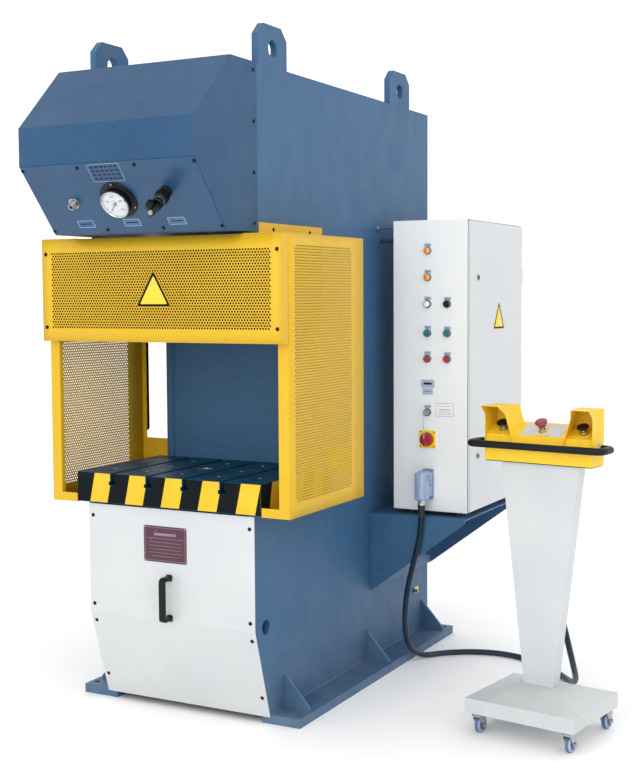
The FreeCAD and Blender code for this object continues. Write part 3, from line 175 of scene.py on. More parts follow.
floor_finish = finish("studio_floor", (254, 254, 254), (252, 252, 252), 0.6, relief=0.005)
floor_mesh = bpy.data.meshes.new("floor")
floor_reach = 14
floor_corners = [(u * floor_reach, v * floor_reach, 0) for u, v in ((-1, -1), (1, -1), (1, 1), (-1, 1))]
floor_mesh.from_pydata(floor_corners, [], [(0, 1, 2, 3)])
floor_mesh.materials.append(floor_finish)
floor = bpy.data.objects.new("floor", floor_mesh)
bpy.context.scene.collection.objects.link(floor)

# ---------------------------------------------------------------- control cord
# Round 22 mm control cable with an oil-proof black jacket. It leaves the plug hood downwards, turns
# on the floor and rises into the gland at the back of the console column.

cord_finish = finish("cord_jacket", (12, 38, 58), (6, 28, 46), 0.36, mottle=22, grain=420, relief=0.03,
                     dust=0.12, shine=0.25)
route = [
    (0.567, 0.075, 0.653), (0.567, 0.075, 0.57), (0.548, 0.077, 0.48), (0.523, 0.08, 0.395),
    (0.501, 0.088, 0.31), (0.485, 0.106, 0.228), (0.473, 0.133, 0.152), (0.468, 0.169, 0.086),
    (0.474, 0.217, 0.037), (0.497, 0.275, 0.012), (0.543, 0.34, 0.0115), (0.613, 0.396, 0.0115),
    (0.701, 0.434, 0.0115), (0.802, 0.439, 0.0115), (0.898, 0.403, 0.0115), (0.984, 0.343, 0.0115),
    (1.06, 0.268, 0.0115), (1.119, 0.193, 0.015), (1.159, 0.121, 0.037), (1.183, 0.049, 0.077),
    (1.195, -0.019, 0.133), (1.199, -0.076, 0.201), (1.198, -0.125, 0.277), (1.195, -0.166, 0.346),
    (1.1894, -0.2288, 0.385), (1.17888, -0.29801, 0.385),
]
cord_line = bpy.data.curves.new("control_cord_jacket", "CURVE")
cord_line.dimensions = "3D"
spline = cord_line.splines.new("NURBS")
spline.points.add(len(route) - 1)
spline.points.foreach_set("co", [value for point in route for value in (*point, 1)])
spline.order_u = 3
spline.use_endpoint_u = True
spline.resolution_u = 10
cord_line.bevel_depth = 0.011
cord_line.bevel_resolution = 5
cord_line.use_fill_caps = True
cord_line.materials.append(cord_finish)
cord = bpy.data.objects.new("control_cord_jacket", cord_line)
bpy.context.scene.collection.objects.link(cord)
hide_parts("control_cord")
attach(cord, "press")


def grid_faces(rows, columns, closed=False):
    """Squares of a grid of rows by columns points; closed joins the last column to the first."""
    i, j = np.meshgrid(np.arange(rows - 1), np.arange(columns - (0 if closed else 1)), indexing="ij")
    ahead = (j + 1) % columns
    return np.stack([i * columns + j, i * columns + ahead, (i + 1) * columns + ahead,
                     (i + 1) * columns + j], -1).reshape(-1, 4)


def carried(points, place):
    """Points in a local frame taken to where the frame stands: R p + t."""
    matrix = np.array(place)
    return points @ matrix[:3, :3].T + matrix[:3, 3]


def turned(profile, place, sides):
    """Profile of radius and height carried round its own axis: (r cos a, r sin a, h)."""
    profile = np.asarray(profile, float)
    angle = np.arange(sides) * 2 * math.pi / sides
    radius, height = profile[:, :1], profile[:, 1:]
    points = np.stack([radius * np.cos(angle), radius * np.sin(angle),
                       height + 0 * angle], -1).reshape(-1, 3)
    return carried(points, place), grid_faces(len(profile), sides, True)


def piece(name, parts, material, slot, body="press", replaces=(), bevel=0.0, solid=0.0, crease=35,
          outward=True):
    """One object from several surfaces of points and faces. A part may name its own material third."""
    materials = [material]
    points, faces, marks, start = [], [], [], 0
    for part in parts:
        own = part[2] if len(part) > 2 else material
        if own not in materials:
            materials.append(own)
        points.append(part[0])
        rows = part[1].tolist() if isinstance(part[1], np.ndarray) else part[1]
        faces += [[start + k for k in face] for face in rows]
        marks += [materials.index(own)] * len(part[1])
        start += len(part[0])
    mesh = bpy.data.meshes.new(name)
    mesh.from_pydata(np.vstack(points).tolist(), [], faces)
    for own in materials:
        mesh.materials.append(own)
    mesh.polygons.foreach_set("material_index", marks)
    return mounted(name, mesh, slot, body, replaces, bevel, solid, crease, outward)


def mounted(name, mesh, slot, body, replaces, bevel, solid=0.0, crease=35, outward=True):
    """Closes the seams of a mesh, points its faces outwards and mounts it on its body."""
    shell = bmesh.new()
    shell.from_mesh(mesh)
    bmesh.ops.remove_doubles(shell, verts=shell.verts, dist=2e-6)
    bmesh.ops.dissolve_degenerate(shell, edges=shell.edges, dist=1e-7)
    if outward:
        bmesh.ops.recalc_face_normals(shell, faces=shell.faces)
    shell.to_mesh(mesh)
    shell.free()
    mesh.polygons.foreach_set("use_smooth", [not solid] * len(mesh.polygons))
    mesh.set_sharp_from_angle(angle=math.radians(crease))
    made = bpy.data.objects.new(name, mesh)
    bpy.context.scene.collection.objects.link(made)
    if solid:
        wall = made.modifiers.new("thickness", "SOLIDIFY")
        wall.thickness = solid
        wall.offset = -1
    if bevel:
        edge = made.modifiers.new("edges", "BEVEL")
        edge.width = bevel
        edge.segments = 2
        edge.limit_method = "ANGLE"
        edge.angle_limit = math.radians(35)
        edge.harden_normals = True
    if replaces:
        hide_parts(*([replaces] if isinstance(replaces, str) else replaces))
    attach(made, body)
    return made


def at(x, y, z):
    """Frame moved to a point."""
    return Matrix.Translation((x, y, z))


def spun(angle, axis):
    """Frame turned about one of its axes."""
    return Matrix.Rotation(angle, 4, axis)


quarter = math.pi / 2
down = spun(math.pi, "X")
gland_metal = finish("gland_metal", (190, 192, 190), (168, 171, 170), 0.3, metallic=1, mottle=30)
exit_place = at(*route[0]) @ down
boot = [(0.0112, -0.003), (0.0146, -0.003), (0.0146, 0.004), (0.0138, 0.006), (0.0136, 0.014),
        (0.0128, 0.016), (0.0127, 0.024), (0.0121, 0.026), (0.0119, 0.038), (0.0112, 0.041)]
sleeve = [*boot, (0.0108, 0.04), (0.0108, -0.003)]
boot_finish = finish("boot_rubber", (34, 36, 38), (24, 26, 28), 0.6, mottle=40, grain=500)
exit_boot = piece("cord_boot_plug", [turned([*sleeve, sleeve[0]], exit_place, 32)], boot_finish,
                  "black_plastic")
far_axis = (Vector(route[-2]) - Vector(route[-1])).normalized()
far_place = at(*route[-1]) @ far_axis.to_track_quat("Z", "Y").to_matrix().to_4x4()
far_boot = piece("cord_boot_console", [turned([*sleeve, sleeve[0]], far_place, 32)], boot_finish,
                 "black_plastic")

# ---------------------------------------------------------------- welded frame
# Side plates 25 mm thick with a C throat, throat plate, head plate and base flanges, flame cut and
# welded, then sprayed a satin blue grey. Sheet covers close the back and the top.

frame_paint = finish("frame_paint", (56, 96, 132), (49, 88, 124), 0.48, mottle=2.2, grain=520, relief=0.05,
                     streak=0.4, dust=0.2, speckle=0.35, shine=0.3)


def eased(node, material, slot, bevel, body="press"):
    """A merged copy of a plate or casting with its edges broken, in place of the sharp-edged one."""
    shell = bmesh.new()
    shell.from_mesh(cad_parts[node].data)
    bmesh.ops.remove_doubles(shell, verts=shell.verts, dist=2e-6)
    bmesh.ops.dissolve_limit(shell, angle_limit=math.radians(0.6), verts=shell.verts, edges=shell.edges)
    mesh = bpy.data.meshes.new(node + "_finished")
    shell.to_mesh(mesh)
    shell.free()
    mesh.materials.clear()
    mesh.materials.append(material)
    mesh.polygons.foreach_set("material_index", [0] * len(mesh.polygons))
    return mounted(mesh.name, mesh, slot, body, node, bevel, outward=False)


for name in ("side_plate_left", "side_plate_right", "throat_plate", "head_plate"):
    eased(name, frame_paint, "frame_blue", 0.0016)
for name in ("base_flange_left", "base_flange_right"):
    eased(name, frame_paint, "frame_blue", 0.0022)
for name in ("rear_cover", "top_cover"):
    eased(name, frame_paint, "frame_blue", 0.0008)


def circle(radius, sides):
    """Points round a circle."""
    angle = np.arange(sides) * 2 * math.pi / sides
    return radius * np.c_[np.cos(angle), np.sin(angle)]


def swept(path, across, section, closed=False):
    """Section of u and v carried along a path in a plane: path + u (across) + v (heading x across)."""
    path, section = np.asarray(path, float), np.asarray(section, float)
    if closed:
        heading = np.roll(path, -1, 0) - np.roll(path, 1, 0)
    else:
        heading = np.gradient(path, axis=0)
    heading /= np.linalg.norm(heading, axis=1, keepdims=True)
    side = np.broadcast_to(np.asarray(across, float), path.shape)
    third = np.cross(heading, side)
    points = path[:, None] + side[:, None] * section[None, :, :1] + third[:, None] * section[None, :, 1:]
    count = len(section)
    faces = grid_faces(len(path), count, True).tolist()
    if closed:
        last = (len(path) - 1) * count
        faces += [[last + j, last + (j + 1) % count, (j + 1) % count, j] for j in range(count)]
    else:
        faces += [list(range(count)), list(range(len(path) * count - count, len(path) * count))[::-1]]
    return points.reshape(-1, 3), faces


def weld_bead(start, end, size, across):
    """Fillet weld: a flattened circle carried along the joint, its size waving once each 7 mm."""
    start, end = np.asarray(start, float), np.asarray(end, float)
    length = np.linalg.norm(end - start)
    steps = max(8, int(length / 0.0024))
    share = np.linspace(0, 1, steps)
    path = start + share[:, None] * (end - start)
    points, faces = swept(path, across, circle(size, 8))
    middle = np.repeat(path, 8, axis=0)
    wave = 1 + 0.13 * np.sin(np.repeat(share * length / 0.007 * 2 * math.pi, 8))
    fade = np.repeat(np.clip(np.minimum(share, 1 - share) * length / 0.006, 0.25, 1), 8)
    return middle + (points - middle) * (wave * fade)[:, None], faces


half_width, plate_thick, front_edge = 0.34, 0.025, -0.79
flange_top, bed_top, throat_top, head_foot = 0.032, 0.845, 1.63, 1.664
throat_y = front_edge + 0.498
beads = []
for side in (-1, 1):
    outer, inner = side * half_width, side * (half_width - plate_thick)
    beads.append(weld_bead((outer, -0.69, flange_top), (outer, 0.67, flange_top), 0.0055, (1, 0, 0)))
    beads.append(weld_bead((inner, throat_y, bed_top), (inner, throat_y, throat_top), 0.005, (1, 0, 0)))
reach = half_width - 0.03
beads.append(weld_bead((-reach, throat_y, head_foot), (reach, throat_y, head_foot), 0.005, (0, 1, 0)))
piece("frame_welds", beads, frame_paint, "frame_blue", crease=60)

# ---------------------------------------------------------------- cylinder, ram and platen
# Steel cylinder with a bolted gland, a hard-chromed ram and a ground platen held up to it by a
# clamping ring. The working faces are bare and lightly oiled.

ground_steel = finish("ground_steel", (176, 178, 178), (150, 153, 155), 0.3, metallic=1, mottle=14,
                      grain=1400, relief=0.02, streak=0.5)
chrome = finish("hard_chrome", (205, 207, 209), (190, 193, 197), 0.12, metallic=1, mottle=20, grain=1800,
                relief=0.006, spread=0.03)
black_oxide = finish("black_oxide", (14, 18, 24), (9, 12, 18), 0.38, mottle=60, grain=900, relief=0.02,
                     shine=0.25)
eased("cylinder_body", frame_paint, "frame_blue", 0.0015)
eased("ram", chrome, "chromed_rod", 0.0008, body="ram")
eased("platen", ground_steel, "ground_steel", 0.0016, body="ram")
ram_y = -0.555


def socket_screw(place, radius, height, sides=20):
    """Cap screw: a round rim with an eased edge and a hexagon socket sunk in its top."""
    head = [(0, 0), (radius, 0), (radius, height * 0.86), (radius * 0.9, height), (radius * 0.55, height),
            (radius * 0.5, height * 0.5), (0, height * 0.5)]
    return turned(head, place, sides)


gland_parts = []
for i in range(8):
    angle = i * math.pi / 4 + math.pi / 8
    spot = at(0.077 * math.cos(angle), ram_y + 0.077 * math.sin(angle), 1.642)
    gland_parts.append(socket_screw(spot @ down, 0.006, 0.006))
piece("gland_screws", gland_parts, black_oxide, "ground_steel")
wiper = [(0.0604, -0.004), (0.066, -0.004), (0.068, 0.0005), (0.0604, 0.0005), (0.0604, -0.004)]
piece("ram_wiper", [turned(wiper, at(0, ram_y, 1.642), 48)], boot_finish,
      "black_plastic")
ring_parts = [turned([(0.0603, 0), (0.098, 0), (0.1, 0.002), (0.1, 0.016), (0.097, 0.018),
                      (0.0603, 0.018), (0.0603, 0)], at(0, ram_y, 1.47), 56)]
for i in range(6):
    angle = i * math.pi / 3
    spot = at(0.081 * math.cos(angle), ram_y + 0.081 * math.sin(angle), 1.488)
    ring_parts.append((*socket_screw(spot, 0.0075, 0.0075), black_oxide))
piece("platen_ring", ring_parts, ground_steel, "ground_steel", body="ram")

# ---------------------------------------------------------------- table
# Cast-iron table, ground on top and blued with oil, with four T-slots, tapped holes and a centre
# bore. Bright chamfers show at the holes; hazard tape is stuck to its front and right-hand edges.

table_iron = finish("table_iron", (14, 66, 96), (8, 55, 84), 0.46, mottle=7, grain=1100, relief=0.03,
                    spread=0.1, flecks=0.1, shine=0.16)
eased("table_plate", table_iron, "table_steel", 0.0012)
table_low, table_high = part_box("table_plate")


def rim(x, y, radius, wide):
    """Machined chamfer at a hole: a thin ring whose inner edge drops into the hole."""
    top = table_high.z
    ring = [(radius - 0.0006, -0.002), (radius + wide, 0), (radius + wide, 0.00025), (radius, 0.00025),
            (radius - 0.0008, -0.0018), (radius - 0.0006, -0.002)]
    return turned(ring, at(x, y, top), 28)


slot_pitch = 0.15
rims = [rim(0, ram_y, 0.02, 0.009)]
bush = [(0.0194, -0.03), (0.01995, -0.03), (0.01995, -0.0005), (0.0194, -0.0005), (0.0194, -0.03)]
rims.append(turned(bush, at(0, ram_y, table_high.z), 48))
for lane, row, pitch_y in ([(u, v, 0.13) for u in (-2, 2) for v in (-1, 1)]
                           + [(u, v, 0.15) for u in (-1, 1) for v in (-1, 0, 1)]
                           + [(0, v, 0.15) for v in (-1, 1)]):
    rims.append(rim(lane * slot_pitch, ram_y + row * pitch_y, 0.00425, 0.0036))
piece("table_hole_rims", rims, ground_steel, "ground_steel")

tape_yellow = finish("tape_yellow", (224, 184, 38), (217, 176, 32), 0.42, mottle=12, grain=300, relief=0.01,
                     flecks=0.2, shine=0.3)
tape_black = finish("tape_black", (8, 16, 20), (5, 11, 15), 0.5, mottle=12, grain=300, relief=0.01,
                    shine=0.12)
tape = 0.0004
band = 0.075
lean = 0.022


def stacked(outlines, place, ends=True):
    """Closed outlines of one count, each (u, v) at its own height h: (u, v, h), joined in turn."""
    count = len(outlines[0][0])
    points = np.vstack([np.c_[shape, np.full(count, height)] for shape, height in outlines])
    faces = grid_faces(len(outlines), count, True).tolist()
    if ends:
        faces += [list(range(count))[::-1], list(range(len(points) - count, len(points)))]
    return (points if place is None else carried(points, place)), faces


def slab(shape, low, high, place=None):
    """Closed outline of u and v carried from one level to another, with both ends closed."""
    return stacked([(shape, low), (shape, high)], place)


def hazard_tape(width, place, slots):
    """Yellow strip with leaning black bands. Both are cut round the mouths of the T-slots; a band's
    left edge runs at x = start + lean (z - low) / (high - low) and meets the middle of a slot."""
    low, high = -0.103, -0.0012
    mouth, tee, tee_top, tee_low = 0.0094, 0.0154, -0.0276, -0.0416
    strip = [(0, low), (width, low), (width, high)]
    for slot in slots[::-1]:
        strip += [(slot + mouth, high), (slot + mouth, tee_top), (slot + tee, tee_top),
                  (slot + tee, tee_low), (slot - tee, tee_low), (slot - tee, tee_top),
                  (slot - mouth, tee_top), (slot - mouth, high)]
    strip.append((0, high))
    strips = [(*slab(strip, 0, tape, place), tape_yellow)]
    for start in np.arange(-lean, width, 2 * band):
        def edge(z, start=start):
            return start + lean * (z - low) / (high - low)
        if start < 0:
            shape = [(0, low), (start + band, low), (edge(high) + band, high), (max(edge(high), 0), high)]
        else:
            end_low, end_high = min(start + band, width), min(edge(high) + band, width)
            shape = [(start, low), (end_low, low), (end_high, high)]
            near = [slot for slot in slots if abs(slot - edge(high)) < mouth]
            if near:
                shape += [(near[0] + mouth, high), (near[0] + mouth, tee_top), (near[0] + tee, tee_top),
                          (near[0] + tee, tee_low), (edge(tee_low), tee_low)]
            else:
                shape.append((min(edge(high), width), high))
        strips.append((*slab(shape, tape * 0.5, tape * 1.6, place), tape_black))
    return strips


def facing(side, x, y, z):
    """Frame on an upright face: u across it, v up, w out of it. (u, v, w) goes to
    (w out_x - u out_y, u out_x + w out_y, v) for a face that looks to (out_x, out_y)."""
    out_x, out_y = {"front": (0, -1), "back": (0, 1), "left": (-1, 0), "right": (1, 0)}[side]
    return Matrix(((-out_y, 0, out_x, x), (out_x, 0, out_y, y), (0, 1, 0, z), (0, 0, 0, 1)))


for side, x, width, mouths in (("front", table_low.x, table_high.x - table_low.x, (0.15, 0.3, 0.45, 0.6)),
                               ("right", table_high.x, 0.47, ())):
    piece(f"hazard_tape_{side}",
          hazard_tape(width, facing(side, x, table_low.y, table_high.z), mouths),
          tape_yellow, "guard_yellow")

# ---------------------------------------------------------------- hydraulic unit inside the bed
# Welded oil tank between the side plates, with a flanged motor and a valve block on its lid, sprayed
# a machine grey and dusty at the foot.

unit_paint = finish("unit_paint", (122, 128, 134), (108, 114, 120), 0.45, mottle=6, grain=600, relief=0.03,
                    dust=0.4)
eased("power_unit", unit_paint, "unit_grey", 0.002)

# ---------------------------------------------------------------- hood and instrument plate
# Folded 2 mm sheet over the head. A brushed blue instrument plate covers its sloping face, with an
# engraved vent plate, three blank label plates and round-headed screws.

# The hood has the frame's blue paint, made darker here as painted shade, since its top takes more light than
# the side plates.
hood_paint_shaded = finish("hood_paint_shaded", (37, 76, 112), (31, 69, 105), 0.48, mottle=2.2, grain=520, relief=0.05,
                    streak=0.3, speckle=0.35, shine=0.3)
eased("head_hood", hood_paint_shaded, "frame_blue", 0.0022)
plate_paint = finish("plate_paint", (36, 76, 112), (30, 68, 104), 0.36, metallic=0.25, mottle=9, grain=900,
                     relief=0.02, streak=0.5, coat=0.2)
eased("gauge_panel", plate_paint, "gauge_plate_blue", 0.0006)
zinc = finish("bright_zinc", (188, 192, 196), (160, 165, 172), 0.28, metallic=1, mottle=60, grain=1200,
              relief=0.02)


def on_slope(x, drop):
    """Frame on the 2 mm plate of the sloping face: x across, drop down the slope."""
    return at(0, -1.12, 1.878) @ spun(math.radians(129.59), "X") @ at(x, -drop, 0.002)


label_rim = finish("label_rim", (178, 196, 214), (162, 182, 204), 0.35, mottle=30)
label_blue = finish("label_blue", (34, 90, 138), (28, 82, 130), 0.35, mottle=30)
label_pale = finish("label_pale", (70, 102, 140), (62, 94, 132), 0.35, mottle=30)
mark_dark = finish("mark_dark", (14, 30, 54), (10, 24, 46), 0.5, mottle=60, shine=0.2)


def rounded(width, height, radius, step=5):
    """Rounded rectangle about the origin: quarter circles of the radius, moved out to its corners."""
    turn = np.linspace(0, math.pi / 2, step)
    corners = []
    for i, (u, v) in enumerate(((1, 1), (-1, 1), (-1, -1), (1, -1))):
        centre = np.array([u * (width / 2 - radius), v * (height / 2 - radius)])
        angle = turn + i * math.pi / 2
        corners.append(centre + radius * np.c_[np.cos(angle), np.sin(angle)])
    return np.vstack(corners)


def border(outer, inner, low, high, place, under=False):
    """Flat rim between two outlines, with its bottom closed too where under is set."""
    levels = [(outer, low), (outer, high), (inner, high), (inner, low)]
    return stacked(levels + levels[:1] * under, place, False)


def framed_label(width, height, place, face, edge=0.0012, thick=0.0008):
    """Blank plate: a rounded sheet with a paler raised rim round its face."""
    outer = rounded(width, height, 0.002)
    inner = rounded(width - 2 * edge, height - 2 * edge, 0.0012)
    return [(*border(outer, inner, 0, thick, place), label_rim),
            (*slab(inner * 1.001, 0, thick * 0.6, place), face)]


labels = []
for x, face in ((-0.186, label_blue), (0.0, label_pale), (0.174, label_pale)):
    labels += framed_label(0.065, 0.028, on_slope(x, 0.235), face)
    labels.append((*slab(rounded(0.044, 0.0036, 0.0015, 3), 0.0003, 0.0008, on_slope(x, 0.235)),
                   mark_dark))
vent = on_slope(-0.009, 0.04)
labels += framed_label(0.122, 0.066, vent, plate_paint, 0.0008, 0.0009)
for row in range(4):
    for column in range(6):
        mark = rounded(0.012, 0.005, 0.0022, 3) + ((column - 2.5) * 0.0185, (row - 1.5) * 0.0145)
        labels.append((*slab(mark, 0.0003, 0.0009, vent), mark_dark))
piece("instrument_labels", labels, label_rim, "gauge_plate_blue")

# ---------------------------------------------------------------- pressure gauge
# Flanged 100 mm gauge with a black case and flange, three screws, a chromed bezel and a white dial
# printed with a plain 0 to 400 scale. The pointer turns on the spindle behind a clear window.

gauge_place = on_slope(-0.008, 0.143)
gauge_black = finish("gauge_black", (10, 13, 18), (6, 9, 13), 0.32, mottle=30, grain=900, relief=0.02,
                     shine=0.3)
dial_white = finish("dial_white", (204, 209, 208), (197, 203, 203), 0.5, mottle=40, relief=0.004)
dial_ink = finish("dial_ink", (24, 26, 30), (18, 20, 24), 0.5, mottle=60, relief=0.004)
flange = [(0.0495, 0.0005), (0.066, 0.0005), (0.066, 0.0035), (0.0645, 0.005), (0.057, 0.0052),
          (0.056, 0.007), (0.0512, 0.0085), (0.0495, 0.0085), (0.0495, 0.0005)]
case = [(0, 0.0), (0.0494, 0.0), (0.0494, 0.026), (0, 0.026), (0, 0)]
bezel = [(0.044, 0.0275), (0.0497, 0.025), (0.0503, 0.027), (0.0503, 0.031), (0.049, 0.0335),
         (0.0468, 0.034), (0.045, 0.0325), (0.044, 0.03), (0.044, 0.0275)]
face_plate = [(0, 0.026), (0.0455, 0.026), (0.0455, 0.0282), (0.0022, 0.0282), (0.0022, 0.0306),
              (0, 0.031)]
gauge_parts = [(*turned(flange, gauge_place, 64), gauge_black), (*turned(case, gauge_place, 64), gauge_black),
               (*turned(bezel, gauge_place, 64), chrome), (*turned(face_plate, gauge_place, 64), dial_white)]
for i in range(3):
    angle = math.radians(90 + 120 * i)
    spot = gauge_place @ at(0.0605 * math.cos(angle), 0.0605 * math.sin(angle), 0.0045)
    gauge_parts.append((*socket_screw(spot, 0.0032, 0.0022, 14), zinc))
dial_low, dial_sweep, dial_steps = math.radians(225), math.radians(270), 40
for i in range(dial_steps + 1):
    angle = dial_low - dial_sweep * i / dial_steps
    long = i % 10 == 0
    tick = np.array([(0.0385 if long else 0.0405, -0.0004), (0.043, -0.0004), (0.043, 0.0004),
                     (0.0385 if long else 0.0405, 0.0004)])
    gauge_parts.append((*slab(tick, 0.028, 0.02845, gauge_place @ spun(angle, "Z")),
                        dial_ink))
piece("pressure_gauge_dial", gauge_parts, gauge_black, "gauge_plate_blue", replaces="pressure_gauge")


def figure(text, size, place):
    """A number in the plain built-in type, made a mesh and laid on a face: R p + t."""
    letters = bpy.data.curves.new("figure", "FONT")
    letters.body = text
    letters.size = size
    letters.align_x = "CENTER"
    letters.align_y = "CENTER"
    letters.extrude = 0.0001
    holder = bpy.data.objects.new("figure", letters)
    shape = bpy.data.meshes.new_from_object(holder)
    points = np.empty(len(shape.vertices) * 3)
    shape.vertices.foreach_get("co", points)
    faces = [list(face.vertices) for face in shape.polygons]
    bpy.data.objects.remove(holder)
    bpy.data.curves.remove(letters)
    bpy.data.meshes.remove(shape)
    return carried(points.reshape(-1, 3), place), faces


numbers = []
for i in range(5):
    angle = dial_low - dial_sweep * i / 4
    spot = at(0.029 * math.cos(angle), 0.029 * math.sin(angle), 0.0284)
    numbers.append(figure(str(100 * i), 0.0105, gauge_place @ spot))
numbers.append(figure("bar", 0.006, gauge_place @ at(0, 0.014, 0.0284)))
piece("gauge_figures", numbers, dial_ink, "gauge_plate_blue", outward=False)

hub_ring = [(0.0021, 0), (0.0058, 0), (0.0058, 0.0016), (0.0046, 0.0022), (0.0021, 0.0022), (0.0021, 0)]
hand_place = gauge_place @ spun(math.radians(135), "Z") @ at(0, 0, 0.0287)
half_hand = [(-0.0028, -0.013), (0.0028, -0.013), (0.0018, -0.0022), (-0.0018, -0.0022)]
tip_hand = [(-0.0018, 0.0022), (0.0018, 0.0022), (0.0006, 0.035), (-0.0006, 0.035)]
piece("gauge_pointer", [turned(hub_ring, hand_place, 24), slab(half_hand, 0.0002, 0.001, hand_place),
                        slab(tip_hand, 0.0002, 0.001, hand_place)],
      dial_ink, "black_plastic", body="needle", replaces="gauge_needle")

window_glass = bpy.data.materials.new("window_glass")
window_glass.use_nodes = True
clear = window_glass.node_tree.nodes["Principled BSDF"]
clear.inputs["Base Color"].default_value = (0.9, 0.95, 1, 1)
clear.inputs["Roughness"].default_value = 0.04
clear.inputs["Alpha"].default_value = 0.1
haze = window_glass.node_tree.nodes.new("ShaderNodeTexNoise")
haze.inputs["Scale"].default_value = 60
haze_bump = window_glass.node_tree.nodes.new("ShaderNodeBump")
haze_bump.inputs["Strength"].default_value = 0.03
haze_place = window_glass.node_tree.nodes.new("ShaderNodeTexCoord")
window_glass.node_tree.links.new(haze_place.outputs["Object"], haze.inputs["Vector"])
window_glass.node_tree.links.new(haze.outputs["Fac"], haze_bump.inputs["Height"])
window_glass.node_tree.links.new(haze_bump.outputs["Normal"], clear.inputs["Normal"])
window = [(0, 0.0318), (0.0448, 0.0318), (0.0448, 0.033), (0, 0.033)]
piece("gauge_window", [turned(window, gauge_place, 64)], window_glass, "white_plastic")

# ---------------------------------------------------------------- test coupling and regulator
# Turned steel test socket on a round flange with two black screws. The regulating valve has a
# black barrel with a knurled collar, and a three-armed hand knob with a bright centre.

socket_place = on_slope(-0.19, 0.149)
socket_body = [(0.0071, 0), (0.02, 0), (0.02, 0.004), (0.019, 0.005), (0.0128, 0.005),
               (0.012, 0.0065), (0.012, 0.0235), (0.0108, 0.026), (0.008, 0.026), (0.0071, 0.0245),
               (0.0071, 0)]
socket_parts = [turned(socket_body, socket_place, 40)]
for i in range(6):
    ring = [(0.0119, 0), (0.0126, 0.0006), (0.0126, 0.0012), (0.0119, 0.0018), (0.0119, 0)]
    socket_parts.append(turned(ring, socket_place @ at(0, 0, 0.0085 + 0.0025 * i), 40))
socket_parts.append((*turned([(0, 0.0), (0.007, 0.0), (0.007, 0.014), (0.0035, 0.014), (0.003, 0.017),
                              (0, 0.017)], socket_place, 24), black_oxide))
for side in (-1, 1):
    spot = socket_place @ at(side * 0.0162, 0.0012 * side, 0.005)
    socket_parts.append((*socket_screw(spot, 0.003, 0.0034, 14), black_oxide))
piece("test_socket", socket_parts, ground_steel, "zinc_screws", replaces="test_coupling")

valve_place = on_slope(0.185, 0.12)
valve_body = [(0, 0), (0.02, 0), (0.02, 0.0105), (0.0188, 0.012), (0.015, 0.012), (0.015, 0.018),
              (0.0205, 0.02), (0.023, 0.0225), (0.023, 0.045), (0.0215, 0.047), (0.017, 0.0485),
              (0.017, 0.057), (0.019, 0.0585), (0.019, 0.07), (0.018, 0.0718), (0.006, 0.0718),
              (0.006, 0.095), (0, 0.095)]
valve_parts = [(*turned(valve_body, valve_place, 48), gauge_black)]
knurl_count = 44
turn_grid = np.arange(knurl_count * 2) * math.pi / knurl_count
knurl_radius = 0.0231 + 0.0006 * (np.arange(knurl_count * 2) % 2)
knurl = np.c_[knurl_radius * np.cos(turn_grid), knurl_radius * np.sin(turn_grid)]
valve_parts.append((*slab(knurl, 0.025, 0.0425, valve_place), gauge_black))
valve_parts.append((*turned([(0.0172, 0.049), (0.0182, 0.0495), (0.0182, 0.0555), (0.0172, 0.056),
                             (0.0172, 0.049)], valve_place, 40), chrome))
piece("regulator_valve", valve_parts, gauge_black, "black_plastic", replaces="regulator_body")

knob_angle = np.linspace(0, 2 * math.pi, 73)[:-1]
lobes = 0.0178 + 0.0098 * np.cos(3 * knob_angle) ** 3 + 0.0012 * np.cos(6 * knob_angle)
knob_levels = ((0.0732, 0.8), (0.0748, 0.93), (0.079, 1.0), (0.101, 1.0), (0.1055, 0.93), (0.1085, 0.78),
               (0.1098, 0.4))
knob_outline = np.c_[lobes * np.cos(knob_angle), lobes * np.sin(knob_angle)]
knob_body = stacked([(share * knob_outline, lift) for lift, share in knob_levels], valve_place)
knob_centre = [(0, 0.109), (0.008, 0.109), (0.008, 0.1145), (0.007, 0.1168), (0, 0.117)]
piece("regulator_hand_knob", [(*knob_body, gauge_black),
                              (*turned(knob_centre, valve_place, 32), zinc)],
      gauge_black, "black_plastic", body="regulator", replaces="regulator_knob")

# ---------------------------------------------------------------- access panel
# Folded 2 mm panel over the bed, powder coated off-white, with a black bridge handle on two square
# feet and a blank ruled red plate held by four rivets.

panel_white = finish("panel_white", (200, 203, 204), (194, 197, 199), 0.42, mottle=2.5, grain=800,
                     relief=0.03, coat=0.15, dust=0.12)
eased("access_panel", panel_white, "panel_white", 0.0007)
front_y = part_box("access_panel")[0].y
handle_black = finish("handle_black", (10, 13, 18), (6, 9, 14), 0.36, mottle=30, grain=700, relief=0.04,
                      shine=0.25)


def bend(corners, radius, step):
    """Path of straight runs whose corners are arcs: centre - radius (cos a, sin a) between the two runs."""
    corners = [np.asarray(c, float) for c in corners]
    path = [corners[0]]
    for before, corner, after in zip(corners, corners[1:], corners[2:]):
        back = (before - corner) / np.linalg.norm(before - corner)
        ahead = (after - corner) / np.linalg.norm(after - corner)
        half = math.acos(np.clip(back @ ahead, -1, 1)) / 2
        middle = (back + ahead) / np.linalg.norm(back + ahead)
        centre = corner + middle * radius / math.sin(half)
        first = corner + back * radius / math.tan(half) - centre
        last = corner + ahead * radius / math.tan(half) - centre
        share = np.linspace(0, 1, step)[:, None]
        whole = math.pi - 2 * half
        path += list(centre + (np.sin((1 - share) * whole) * first + np.sin(share * whole) * last)
                     / math.sin(whole))
    return np.array([*path, corners[-1]])


